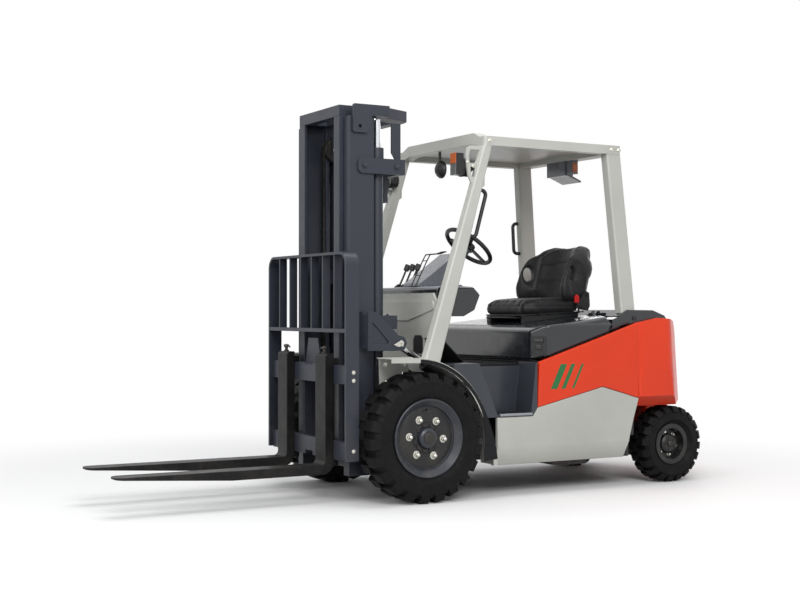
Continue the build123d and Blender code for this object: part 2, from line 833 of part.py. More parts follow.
def seat_back():
    x = seat_rear_x
    face = soft_outline([
        (x + 148, 1094), (x + 158, 1180), (x + 60, 1430), (x - 32, 1452), (x - 142, 1430), (x - 47, 1080),
        (x - 38, 1030.3), (x - 4, 1030.3), (x - 4, 1094),
    ], 14)
    shield = soft_outline([
        (30 - seat_half, 1030), (-seat_half, 1110), (-seat_half, 1290), (75 - seat_half, 1425),
        (150 - seat_half, 1460), (seat_half - 150, 1460), (seat_half - 75, 1425), (seat_half, 1290),
        (seat_half, 1110), (seat_half - 30, 1030),
    ], 24)
    back = side_plate(face, -seat_half, seat_half) & front_plate(shield, x - 200, x + 250)
    lean = Plane(origin=(x + 230, 0, 1090), z_dir=Vector(-105, 0, 340))
    return back - extrude(lean * Ellipse(215, 208), amount=600, both=True)


# Mast rails: channels facing inward, the inner pair nested in the outer pair.
def channel(x0, x1, y_out, y_in, z0, z1):
    face = outline([
        (x0, y_out), (x1, y_out), (x1, y_in), (x1 - flange_t, y_in), (x1 - flange_t, y_out - flange_t),
        (x0 + flange_t, y_out - flange_t), (x0 + flange_t, y_in), (x0, y_in),
    ])
    return plan_plate(face, z0, z1)


inner_bottom = mast_bottom + 85


def outer_rail():
    return channel(mast_rear_x, mast_front_x, mast_half, flange_in, mast_bottom, outer_top)


def inner_rail():
    return channel(inner_rear_x, inner_front_x, inner_out, inner_in, inner_bottom, crown_low)


# Outer mast: tilt brackets, axle saddles and ties behind the rails.
bracket_in = mast_half - 25
bracket_out = mast_half + 15
ear_x = 262.0
ear_in = tilt_y + 26
ear_out = tilt_y + 42
band_z = outer_top - 310
band_h = 85.0
band_out = mast_half + 14
anchor_h = 140.0
mid_tie_z = 930.0
mid_tie_h = 75.0

lift_x = 125.0
lift_y = 255.0
chain_y = 130.0
chain_t = 14.0
chain_w = 22.0
chain_pitch = 50.0
link_h = 32.0
sheave_x = 195.0
sheave_z = inner_top - 205
sheave_r = 62.0
sheave_pin_r = 12.0


def tilt_bracket():
    x, z = tilt_mast
    cheek = outline([
        (ear_x, z - 38), (ear_x, z + 172), (ear_x - 47, z + 172), (x + 10, z + 44), (x - 28, z + 34),
        (x - 40, z), (x - 28, z - 32), (x, z - 40), (x + 60, z - 40),
    ])
    ear = side_plate(cheek, mast_half, mast_half + 22) + side_plate(cheek, ear_in, ear_out)
    wall = outline([(150, z - 18), (ear_x, z - 28), (ear_x, z + 155), (ear_x - 47, z + 155), (150, z + 87)])
    ear += side_plate(wall, mast_half, ear_out)
    pocket = soft_outline([(ear_x - 18, z - 2), (ear_x - 18, z + 128), (x + 62, z - 2)], 10)
    ear -= side_plate(pocket, ear_out - 8, ear_out + 5)
    return ear + cross_bar(x, z, tilt_pin_r, mast_half, ear_out + 4)


def saddle():
    arm = outline([(0, 238), (mast_rear_x, 215), (mast_rear_x, 560), (0, 462)])
    ring = side_plate(arm, bracket_in, bracket_out)
    ring += cross_bar(0, front_r, axle_tube_r + 32, bracket_in, bracket_out)
    tongue = block(mast_rear_x, mast_rear_x + 70, mast_half, bracket_out, 215, 560)
    return ring + tongue - cross_bar(0, front_r, axle_tube_r + slack, bracket_in - 5, bracket_out + 5)


def outer_ties():
    base = block(55, 160, -bracket_in, bracket_in, mast_bottom + 5, 235)
    mid = block(30, 78, -mast_half, mast_half, mid_tie_z, mid_tie_z + mid_tie_h)
    band = block(-12, 28, -band_out, band_out, band_z, band_z + band_h)
    ties = base + mid + band
    arm = side_plate(soft_outline([
        (-12, band_z), (-12, band_z + band_h), (280, band_z + band_h), (280, band_z),
    ], 30), mast_half, band_out)
    corner = block(-12, 28, mast_half - 10, band_out, band_z, band_z + band_h)
    stay = block(30, mast_rear_x, bracket_in, mast_half, mid_tie_z, mid_tie_z + mid_tie_h)
    guide = side_plate(outline([
        (-4, band_z + band_h - 5), (-4, outer_top - 21), (54, outer_top - 21), (54, band_z + band_h + 40),
        (26, band_z + band_h - 5),
    ]), 286, 296)
    low = band_z - anchor_h
    anchor = block(0, 24, chain_y - 28, chain_y + 28, low, band_z + 10)
    anchor += block(0, 158, chain_y - 24, chain_y + 24, low, low + 24)
    for shape in pair(saddle() + tilt_bracket()) + pair(arm + corner + stay) + pair(guide) + pair(anchor):
        ties += shape
    return ties


def lift_cylinder():
    top = outer_top - 160
    barrel = upright(lift_x, lift_y, 35, 235, top) + upright(lift_x, lift_y, 39, top - 60, top)
    barrel -= upright(lift_x, lift_y, 26, 255, top - 30)
    return barrel - upright(lift_x, lift_y, 22, top - 40, top + 10)


# Inner mast: crown, ties, lift rods and chain sheaves.
def lift_rod():
    return upright(lift_x, lift_y, 21, 345, crown_low)


def inner_ties():
    tab_out = mast_half + 18
    half_plan = [
        (inner_front_x, inner_out), (mast_rear_x - 8, inner_out), (mast_rear_x - 11, tab_out),
        (88, tab_out), (85, 288), (-95, 205), (-110, 150),
    ]
    crown = outline(half_plan + [(x, -y) for x, y in reversed(half_plan)])
    window = soft_outline([(300, 160), (40, 160), (-50, 110), (-50, -110), (40, -160), (300, -160)], 25)
    top = plan_plate(crown, crown_low, inner_top) - plan_plate(window, crown_low - 10, inner_top + 10)
    top += block(165, 225, -170, 170, crown_low, crown_low + 30)
    tab = soft_outline([
        (88, crown_low), (88, inner_top), (314, inner_top), (314, crown_low - 95), (225, crown_low - 95),
        (205, crown_low - 60), (200, crown_low),
    ], 12)
    ear = side_plate(tab, tab_out - 12, tab_out)
    ear -= cross_bar(272, crown_low - 62, 11, tab_out - 20, tab_out + 5)
    hanger = cross_bar(sheave_x, sheave_z, sheave_pin_r, chain_y - 27, chain_y + 27)
    for y in (chain_y - 27, chain_y + 19):
        hanger += block(sheave_x - 20, sheave_x + 20, y, y + 8, sheave_z - 25, crown_low)
    for shape in pair(hanger) + pair(ear):
        top += shape
    shapes = [top]
    for z in (0.55 * inner_top, inner_bottom + 100):
        shapes.append(block(inner_rear_x - 26, inner_rear_x, -inner_out, inner_out, z, z + 80))
    return shapes


def sheave():
    wheel = cross_bar(sheave_x, sheave_z, sheave_r, chain_y - 17, chain_y + 17)
    return wheel - cross_bar(sheave_x, sheave_z, sheave_pin_r + slack, chain_y - 30, chain_y + 30)


def leaf_chain(x, z0, z1):
    links = block(x - 5, x + 5, chain_y - chain_w / 2 + 3, chain_y + chain_w / 2 - 3, z0, z1)
    count = int((z1 - z0) / chain_pitch)
    step = (z1 - z0) / count
    for k in range(count):
        z = z0 + (k + 0.5) * step
        links += Pos(x, chain_y, z) * Box(chain_t, chain_w, link_h)
    return links


def chain_front():
    return leaf_chain(sheave_x + sheave_r + chain_t / 2, anchor_z, sheave_z)


def chain_rear():
    return leaf_chain(sheave_x - sheave_r - chain_t / 2, band_z - anchor_h + 24, sheave_z)


# Carriage, backrest and forks. The arms stay under the crown and the anchor under the sheaves at full lift.
bar_top = 740.0
bar_h = 100.0
bar_low = 232.0
bar_half = 482.0
arm_x = inner_rear_x + 42
arm_in = 148.0
arm_top = 655.0
anchor_z = 400.0
roller_z = (352.0, 590.0)


def carriage():
    body = block(bar_rear_x, bar_front_x, -bar_half, bar_half, bar_top - bar_h, bar_top)
    body += block(bar_rear_x, bar_front_x, -bar_half, bar_half, bar_low, bar_low + bar_h)
    for shape in pair(block(arm_x, bar_rear_x, arm_in, inner_in - running_gap, bar_low, arm_top)):
        body += shape
    body += block(arm_x, arm_x + 48, -arm_in, arm_in, anchor_z - 100, anchor_z)
    face = outline([(-95, bar_top), (-60, bar_top + 140), (60, bar_top + 140), (95, bar_top)])
    body += front_plate(face, bar_rear_x + 5, bar_rear_x + 19)
    notch = block(bar_rear_x - 5, bar_front_x + 5, -46, 46, bar_low - 5, bar_low + 22)
    for y in (-40, -20, 0, 20, 40):
        body -= block(bar_front_x - 10, bar_front_x + 5, y - 5, y + 5, bar_top - 8, bar_top + 1)
    return body - notch


def carriage_roller(z):
    radius = (inner_front_x - inner_rear_x) / 2 - flange_t - 2
    roller = cross_bar(inner_mid_x, z, radius, inner_in - 2, inner_out - flange_t - 4)
    return roller + cross_bar(inner_mid_x, z, 18, inner_in - running_gap, inner_in)


rest_half = 496.0
rest_top = 1345.0
rest_t = 14.0
rest_bend = 70.0
rest_slats = 6
rest_rear_x = bar_front_x - 54
rest_front_x = bar_front_x + 24


def backrest():
    inside = rest_half - rest_t
    out = rest_half
    top = rest_top - rest_t
    outer = soft_outline([(-out, 100), (-out, rest_top), (out, rest_top), (out, 100)], rest_bend)
    inner = soft_outline([(-inside, 60), (-inside, top), (inside, top), (inside, 60)], rest_bend - rest_t)
    hoop = front_plate(outer, rest_rear_x, rest_front_x)
    hoop -= front_plate(inner, rest_rear_x - 10, rest_front_x + 10)
    hoop &= block(rest_rear_x - 50, rest_front_x + 50, -out - 5, out + 5, bar_low + 5, rest_top + 5)
    slat_x = rest_front_x - 49
    rail_z = 915.0
    body = hoop + block(slat_x, rest_front_x, -inside, inside, rail_z, rail_z + 20)
    pitch = 2 * (rest_half - rest_t / 2) / (rest_slats + 1)
    for k in range(rest_slats):
        y = (k - (rest_slats - 1) / 2) * pitch
        body += block(slat_x, rest_front_x - 4, y - 6, y + 6, rail_z + 20, top)
    return body


hook_h = 36.0
hook_half = 55.0
heel_r = 60.0
throat_r = 25.0


def fork():
    x0 = bar_front_x
    x1 = fork_face_x
    z0 = fork_heel_z
    z1 = z0 + fork_thick
    head = bar_top + 60
    bend = 0.2929
    throat = ThreePointArc(
        (x1, z1 + throat_r), (x1 + bend * throat_r, z1 + bend * throat_r), (x1 + throat_r, z1),
    )
    heel = ThreePointArc((x0 + heel_r, z0), (x0 + bend * heel_r, z0 + bend * heel_r), (x0, z0 + heel_r))
    back = Polyline((x0, z0 + heel_r), (x0, head), (x1 - 12, head), (x1, head - 15), (x1, z1 + throat_r))
    blade = Polyline(
        (x1 + throat_r, z1), (fork_tip_x, z1), (fork_tip_x, z1 - 12), (fork_tip_x - 620, z0),
        (x0 + heel_r, z0),
    )
    y = fork_gauge / 2
    body = side_plate(make_face([back, throat, blade, heel]), y - fork_width / 2, y + fork_width / 2)
    for z in (bar_top, bar_low - hook_h):
        body += block(bar_rear_x + 12, x0, y - hook_half, y + hook_half, z, z + hook_h)
    y0, y1 = y - fork_width / 2, y + fork_width / 2
    tip_x = bar_rear_x - 60
    tip = soft_outline([(tip_x, y0), (fork_tip_x, y0), (fork_tip_x, y1), (tip_x, y1)], 45)
    return body & plan_plate(tip, 0, 1000)


# Tilt cylinders, laid along the line between their two pins.
tilt_run = Vector(tilt_frame[0] - tilt_mast[0], 0, tilt_frame[1] - tilt_mast[1])
tilt_len = tilt_run.length
tilt_dir = tilt_run.normalized()
gland_at = 205.0
eye_r = 34.0


def tilt_at(distance):
    point = Vector(tilt_mast[0], tilt_y, tilt_mast[1]) + tilt_dir * distance
    return (point.X, point.Y, point.Z)


def tilt_barrel():
    x, z = tilt_frame
    barrel = rod_between(tilt_at(gland_at), tilt_at(tilt_len - 50), 40)
    barrel -= rod_between(tilt_at(gland_at + 20), tilt_at(tilt_len - 70), 29)
    barrel -= rod_between(tilt_at(gland_at - 10), tilt_at(gland_at + 30), 21)
    neck = rod_between(tilt_at(tilt_len - 55), tilt_at(tilt_len - 20), 17)
    body = barrel + neck + cross_bar(x, z, eye_r, tilt_y - 18, tilt_y + 18)
    return body - cross_bar(x, z, tilt_pin_r + pin_slack, tilt_y - 30, tilt_y + 30)


def tilt_rod():
    x, z = tilt_mast
    body = cross_bar(x, z, eye_r, tilt_y - 20, tilt_y + 20) + rod_between(tilt_at(25), tilt_at(400), 20)
    return body - cross_bar(x, z, tilt_pin_r + 4, tilt_y - 30, tilt_y + 30)


os.makedirs("parts", exist_ok=True)

export("frame", frame())
export("side_skirts", pair(skirt()))
export("side_panels", pair(side_panel()))
export("fenders", pair(fender()))
export("step_wells", pair(step_well()))
export("front_cowl", front_cowl())
export("floor_plate", floor_plate())
export("counterweight", counterweight())
export("tow_pin", tow_pin())
export("rear_cover", rear_cover())
export("battery_pack", battery_pack())
export("drive_axle", drive_axle())
export("steer_axle", steer_axle())
export("guard_posts", pair(front_post() + lamp_bracket()) + pair(rear_post()))
export("guard_frame", guard_frame())
export("guard_roof", guard_roof())
export("grab_handles", grab_handles())
export("front_lamps", front_lamps())
export("rear_lamp", rear_lamp())
export("mirror", mirror_unit())
export("dashboard", dashboard())
export("steering_column", steering_column())
export("pedals", pedals())
export("control_levers", control_levers())
export("steering_wheel", steering_wheel())
export("hood", hood())
export("seat_frame", seat_frame())
export("seat_cushion", seat_cushion())
export("seat_back", seat_back())
export("outer_rails", pair(outer_rail()))
export("outer_ties", outer_ties())
export("lift_cylinders", pair(lift_cylinder()))
export("inner_rails", pair(inner_rail()))
export("inner_ties", inner_ties())
export("lift_rods", pair(lift_rod()))
export("chain_sheaves", pair(sheave()))
export("chains_front", pair(chain_front()))
export("chains_rear", pair(chain_rear()))
export("carriage", carriage())
rollers = [carriage_roller(z) for z in roller_z]
export("carriage_rollers", rollers + [right_of(shape) for shape in rollers])
export("load_backrest", backrest())
export("forks", pair(fork()))

for side_name, place in (("left", lambda shape: shape), ("right", right_of)):
    export("tyre_front_" + side_name, place(front_tyre()))
    export("rim_front_" + side_name, place(front_rim()))
    export("tyre_rear_" + side_name, place(rear_tyre()))
    export("rim_rear_" + side_name, place(rear_rim()))
    export("knuckle_" + side_name, place(knuckle()))
    export("tilt_barrel_" + side_name, place(tilt_barrel()))
    export("tilt_rod_" + side_name, place(tilt_rod()))
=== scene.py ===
import math

import bmesh
import bpy
from mathutils import Matrix, Vector


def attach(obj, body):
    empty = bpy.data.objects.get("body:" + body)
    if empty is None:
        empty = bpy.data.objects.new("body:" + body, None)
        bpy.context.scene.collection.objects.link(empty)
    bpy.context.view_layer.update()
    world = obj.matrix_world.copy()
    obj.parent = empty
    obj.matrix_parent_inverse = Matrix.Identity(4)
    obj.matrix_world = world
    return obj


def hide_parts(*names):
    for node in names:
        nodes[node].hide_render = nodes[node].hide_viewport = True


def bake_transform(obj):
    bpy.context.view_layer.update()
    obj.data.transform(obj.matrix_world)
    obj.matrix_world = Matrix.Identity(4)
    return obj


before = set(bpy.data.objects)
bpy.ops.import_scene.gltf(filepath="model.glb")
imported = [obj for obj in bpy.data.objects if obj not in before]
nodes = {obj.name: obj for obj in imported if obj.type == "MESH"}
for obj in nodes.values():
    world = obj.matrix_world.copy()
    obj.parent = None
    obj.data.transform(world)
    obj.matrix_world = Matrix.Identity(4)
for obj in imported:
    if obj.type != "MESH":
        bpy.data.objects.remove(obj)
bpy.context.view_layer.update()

# Truck coordinates: millimetres, X forward from the front axle, Y left, Z up.
SHIFT = 256.5


TO_ROW = Matrix.Translation((SHIFT / 1000, 0, 0)) @ Matrix.Scale(0.001, 4)


# Materials.
def linear(rgb):
    out = []
    for value in rgb:
        c = value / 255
        out.append(c / 12.92 if c <= 0.04045 else ((c + 0.055) / 1.055) ** 2.4)
    return (*out, 1.0)


def shade(color, factor):
    return (*[min(1.0, c * factor) for c in color[:3]], 1.0)


class Nodes:
    """One node material with a Principled shader and helpers to wire it."""

    def __init__(self, name):
        self.mat = bpy.data.materials.new(name)
        self.mat.use_nodes = True
        self.tree = self.mat.node_tree
        self.bsdf = self.tree.nodes["Principled BSDF"]
        self.coords = self.tree.nodes.new("ShaderNodeTexCoord").outputs["Object"]

    def add(self, kind, **props):
        node = self.tree.nodes.new(kind)
        for key, value in props.items():
            setattr(node, key, value)
        return node

    def link(self, source, target):
        self.tree.links.new(source, target)

    def noise(self, scale, detail=3.0, rough=0.5, stretch=None):
        node = self.add("ShaderNodeTexNoise")
        node.inputs["Scale"].default_value = scale
        node.inputs["Detail"].default_value = detail
        node.inputs["Roughness"].default_value = rough
        if stretch:
            mapping = self.add("ShaderNodeMapping")
            mapping.inputs["Scale"].default_value = stretch
            self.link(self.coords, mapping.inputs["Vector"])
            self.link(mapping.outputs[0], node.inputs["Vector"])
        else:
            self.link(self.coords, node.inputs["Vector"])
        return node.outputs["Fac"]

    def span(self, source, low, high, to_low, to_high):
        node = self.add("ShaderNodeMapRange")
        for key, value in zip(("From Min", "From Max", "To Min", "To Max"), (low, high, to_low, to_high)):
            node.inputs[key].default_value = value
        self.link(source, node.inputs["Value"])
        return node.outputs[0]

    def math(self, op, a, b):
        node = self.add("ShaderNodeMath", operation=op)
        for socket, value in zip(node.inputs, (a, b)):
            if isinstance(value, (int, float)):
                socket.default_value = value
            else:
                self.link(value, socket)
        return node.outputs[0]

    def mix(self, factor, a, b):
        node = self.add("ShaderNodeMix", data_type="RGBA")
        self.link(factor, node.inputs[0])
        for socket, value in ((node.inputs[6], a), (node.inputs[7], b)):
            if isinstance(value, tuple):
                socket.default_value = value
            else:
                self.link(value, socket)
        return node.outputs[2]

    def edges(self, radius):
        """1 along convex edges, 0 on flats, from the bevelled normal."""
        bevel = self.add("ShaderNodeBevel", samples=4)
        bevel.inputs["Radius"].default_value = radius
        geometry = self.add("ShaderNodeNewGeometry")
        dot = self.add("ShaderNodeVectorMath", operation="DOT_PRODUCT")
        self.link(bevel.outputs[0], dot.inputs[0])
        self.link(geometry.outputs["Normal"], dot.inputs[1])
        return self.span(dot.outputs["Value"], 0.985, 0.86, 0.0, 1.0)

    def bump(self, height, strength, distance):
        node = self.add("ShaderNodeBump")
        node.inputs["Strength"].default_value = strength
        node.inputs["Distance"].default_value = distance
        self.link(height, node.inputs["Height"])
        self.link(node.outputs[0], self.bsdf.inputs["Normal"])

    def set(self, **values):
        names = {
            "metal": "Metallic", "rough": "Roughness", "coat": "Coat Weight", "coat_rough": "Coat Roughness",
            "spec": "Specular IOR Level", "sheen": "Sheen Weight", "clear": "Transmission Weight", "ior": "IOR",
        }
        for key, value in values.items():
            self.bsdf.inputs[names[key]].default_value = value


def painted(name, rgb, rough=0.38, peel=0.05, dust=0.05, wear=0.0, wear_rgb=(120, 120, 122), coat=0.0,
            spec=0.45):
    """Sprayed steel or cast iron: slow colour drift, orange peel, dust that settles low, rubbed edges."""
    n = Nodes(name)
    base = linear(rgb)
    drift = n.noise(2.6, 4.0)
    tone = n.mix(n.span(drift, 0.3, 0.7, 0, 1), shade(base, 0.94), shade(base, 1.05))
    if dust:
        low = n.add("ShaderNodeSeparateXYZ")
        n.link(n.coords, low.inputs[0])
        height = n.span(low.outputs["Z"], 0.75, 0.15, 0.0, 1.0)
        patch = n.math("MULTIPLY", height, n.span(n.noise(9, 6, 0.65), 0.42, 0.75, 0, 1))
        tone = n.mix(n.math("MULTIPLY", patch, dust * 4), tone, linear((150, 141, 128)))
    if wear:
        rub = n.math("MULTIPLY", n.edges(0.003), n.span(n.noise(38, 5, 0.7), 0.45, 0.72, 0, 1))
        tone = n.mix(n.math("MULTIPLY", rub, wear), tone, linear(wear_rgb))
    n.link(tone, n.bsdf.inputs["Base Color"])
    n.link(n.span(n.noise(14, 5, 0.6), 0.3, 0.7, rough - 0.05, rough + 0.07), n.bsdf.inputs["Roughness"])
    n.bump(n.noise(420, 2.0), peel, 0.0006)
    n.set(coat=coat, coat_rough=0.12, spec=spec)
    return n.mat


def moulded(name, rgb, rough=0.45, grain=900, depth=0.12, spec=0.5, coat=0.0):
    """Moulded plastic with a fine leather-like grain."""
    n = Nodes(name)
    base = linear(rgb)
    n.link(n.mix(n.noise(5, 4), shade(base, 0.9), shade(base, 1.12)), n.bsdf.inputs["Base Color"])
    n.link(n.span(n.noise(22, 4), 0.3, 0.7, rough - 0.06, rough + 0.08), n.bsdf.inputs["Roughness"])
    cells = n.add("ShaderNodeTexVoronoi", feature="SMOOTH_F1")
    cells.inputs["Scale"].default_value = grain
    n.link(n.coords, cells.inputs["Vector"])
    n.bump(cells.outputs["Distance"], depth, 0.0005)
    n.set(spec=spec, coat=coat, coat_rough=0.1)
    return n.mat


def rubber(name, rgb=(11, 11, 12), rough=0.66):
    """Rubber with dust in patches and a coarse skin."""
    n = Nodes(name)
    base = linear(rgb)
    dusty = n.math("MULTIPLY", n.span(n.noise(16, 6, 0.7), 0.45, 0.8, 0, 1), 0.35)
    n.link(n.mix(dusty, base, linear((32, 31, 30))), n.bsdf.inputs["Base Color"])
    n.link(n.span(n.noise(30, 4), 0.3, 0.7, rough - 0.08, rough + 0.1), n.bsdf.inputs["Roughness"])
    n.bump(n.noise(260, 5, 0.7), 0.18, 0.0012)
    n.set(spec=0.18)
    return n.mat


def metal(name, rgb, rough=0.3, brushed=None, stain=0.25, stain_rgb=(60, 52, 44)):
    """Bare or plated steel with stains in patches and fine scratches."""
    n = Nodes(name)
    base = linear(rgb)
    patches = n.math("MULTIPLY", n.span(n.noise(45, 6, 0.7), 0.5, 0.8, 0, 1), stain)
    n.link(n.mix(patches, base, linear(stain_rgb)), n.bsdf.inputs["Base Color"])
    scratches = n.noise(120, 3, 0.6, brushed)
    n.link(n.span(scratches, 0.3, 0.7, rough - 0.08, rough + 0.12), n.bsdf.inputs["Roughness"])
    n.bump(n.noise(500, 2, 0.5, brushed), 0.06, 0.0004)
    n.set(metal=1.0)
    return n.mat


def vinyl(name, rgb):
    """Seat cover: fine leather grain, soft sheen, creases in patches."""
    n = Nodes(name)
    base = linear(rgb)
    n.link(n.mix(n.noise(7, 5), shade(base, 0.8), shade(base, 1.3)), n.bsdf.inputs["Base Color"])
    n.link(n.span(n.noise(18, 4), 0.3, 0.7, 0.42, 0.58), n.bsdf.inputs["Roughness"])
    cells = n.add("ShaderNodeTexVoronoi", feature="DISTANCE_TO_EDGE")
    cells.inputs["Scale"].default_value = 420
    n.link(n.coords, cells.inputs["Vector"])
    n.bump(n.math("ADD", n.span(cells.outputs["Distance"], 0, 0.25, 0, 1), n.noise(30, 3)), 0.22, 0.0008)
    n.set(spec=0.3, sheen=0.1)
    return n.mat


def lens(name, rgb, clear=0.6, rough=0.12):
    """Ribbed lamp lens."""
    n = Nodes(name)
    base = linear(rgb)
    n.link(n.mix(n.noise(60, 2), shade(base, 0.92), shade(base, 1.06)), n.bsdf.inputs["Base Color"])
    wave = n.add("ShaderNodeTexWave")
    wave.inputs["Scale"].default_value = 90
    n.link(n.coords, wave.inputs["Vector"])
    n.bump(wave.outputs["Fac"], 0.25, 0.001)
    n.set(rough=rough, clear=clear, ior=1.49)
    return n.mat


LIGHT = painted("paint_light_grey", (195, 196, 189), rough=0.4, dust=0.03, wear=0.15,
                wear_rgb=(150, 150, 146))
ORANGE = painted("paint_orange", (236, 66, 32), rough=0.36, dust=0.02, coat=0.08, spec=0.3)
SLATE = painted("paint_slate", (45, 49, 59), rough=0.42, peel=0.08, dust=0.03, wear=0.25,
                wear_rgb=(128, 130, 134))
FORK = painted("paint_fork_black", (18, 18, 19), rough=0.45, peel=0.12, dust=0.02, wear=0.4,
               wear_rgb=(112, 110, 107), spec=0.2)
UNDER = painted("paint_chassis_black", (22, 22, 24), rough=0.55, peel=0.1, dust=0.08)
RIM = painted("paint_rim_slate", (44, 48, 56), rough=0.36, dust=0.06, wear=0.3, wear_rgb=(125, 128, 132))
RIM_BLACK = painted("paint_rim_black", (18, 19, 21), rough=0.36, dust=0.03, wear=0.25,
                    wear_rgb=(105, 106, 108))
PLASTIC = moulded("plastic_slate", (25, 28, 34), rough=0.22, depth=0.03, coat=0.5)
STEP = moulded("plastic_step", (50, 54, 61), rough=0.36, depth=0.06, coat=0.1)
TRIM = moulded("plastic_black", (17, 18, 20), rough=0.45)
SILVER = moulded("plastic_silver", (150, 153, 158), rough=0.36, depth=0.04)
GREY = moulded("plastic_grey", (92, 96, 104), rough=0.28, depth=0.03, coat=0.4)
TYRE = rubber("tyre_rubber")
MAT = rubber("floor_mat_rubber", (26, 27, 29), 0.6)
ZINC = metal("zinc_plate", (206, 204, 196), 0.28, stain=0.12, stain_rgb=(150, 140, 118))
CHROME = metal("hard_chrome", (222, 224, 228), 0.1, (1, 1, 14), stain=0.05)
OILED = metal("oiled_steel", (70, 68, 66), 0.36, stain=0.5, stain_rgb=(26, 23, 20))
VINYL = vinyl("seat_vinyl", (18, 18, 21))
GLASS = metal("mirror_glass", (214, 220, 226), 0.05, stain=0.0)
AMBER = lens("lens_amber", (244, 116, 20), 0.45)
RED = lens("lens_red", (190, 22, 18), 0.4)
CLEAR = lens("lens_clear", (236, 238, 240), 0.85, 0.06)
GLOSS = moulded("plastic_gloss_black", (14, 15, 17), rough=0.14, depth=0.02, coat=0.6)
RED_PLASTIC = moulded("plastic_red", (196, 30, 26), rough=0.35, depth=0.05)
GREEN = painted("paint_stripe_green", (38, 112, 62), rough=0.4, dust=0.0)

NODE_LOOK = {
    LIGHT: "side_skirts fenders front_cowl guard_posts guard_frame guard_roof",
    ORANGE: "side_panels counterweight",
    PLASTIC: "rear_cover dashboard hood",
    STEP: "step_wells",
    GREY: "steering_column rear_lamp",
    SLATE: "outer_rails outer_ties inner_rails inner_ties carriage load_backrest lift_cylinders",
    FORK: "forks",
    UNDER: "frame battery_pack drive_axle steer_axle knuckle_left knuckle_right tilt_barrel_left "
           "tilt_barrel_right",
    RIM: "rim_front_left rim_front_right",
    RIM_BLACK: "rim_rear_left rim_rear_right",
    TRIM: "grab_handles front_lamps mirror pedals control_levers steering_wheel seat_frame",
    MAT: "floor_plate",
    TYRE: "tyre_front_left tyre_front_right tyre_rear_left tyre_rear_right",
    VINYL: "seat_cushion seat_back",
    CHROME: "lift_rods tilt_rod_left tilt_rod_right",
    OILED: "chain_sheaves chains_front chains_rear carriage_rollers",
    ZINC: "tow_pin",
}
# Edge radii in millimetres.
EDGE = {
    "counterweight": 12, "hood": 14, "rear_cover": 10, "step_wells": 5, "forks": 5, "guard_frame": 5,
    "side_panels": 4, "dashboard": 5, "side_skirts": 4, "guard_posts": 4, "front_cowl": 4, "load_backrest": 3,
    "outer_ties": 5, "inner_ties": 5, "carriage": 3, "outer_rails": 3, "inner_rails": 3, "fenders": 1.5,
}
WIDE_EDGE = 8


def soften(obj, width, segments=2, angle=28):
    """Rounds the edges of a solid as a modifier; the mesh itself stays."""
    weld = obj.modifiers.new("weld", "WELD")
    weld.merge_threshold = 0.00002
    flat = obj.modifiers.new("flat", "DECIMATE")
    flat.decimate_type = "DISSOLVE"
    flat.angle_limit = math.radians(0.6)
    bevel = obj.modifiers.new("bevel", "BEVEL")
    bevel.width = width / 1000
    bevel.segments = segments
    bevel.limit_method = "ANGLE"
    bevel.angle_limit = math.radians(angle)
    bevel.use_clamp_overlap = True
    normals = obj.modifiers.new("normals", "WEIGHTED_NORMAL")
    normals.keep_sharp = False
    normals.weight = 60


for look, names in NODE_LOOK.items():
    for name in names.split():
        solid = nodes[name]
        solid.data.materials.clear()
        solid.data.materials.append(look)
        width = EDGE.get(name, 2)
        soften(solid, width, 4 if width > WIDE_EDGE else 2)
nodes["hood"].modifiers["bevel"].use_clamp_overlap = False


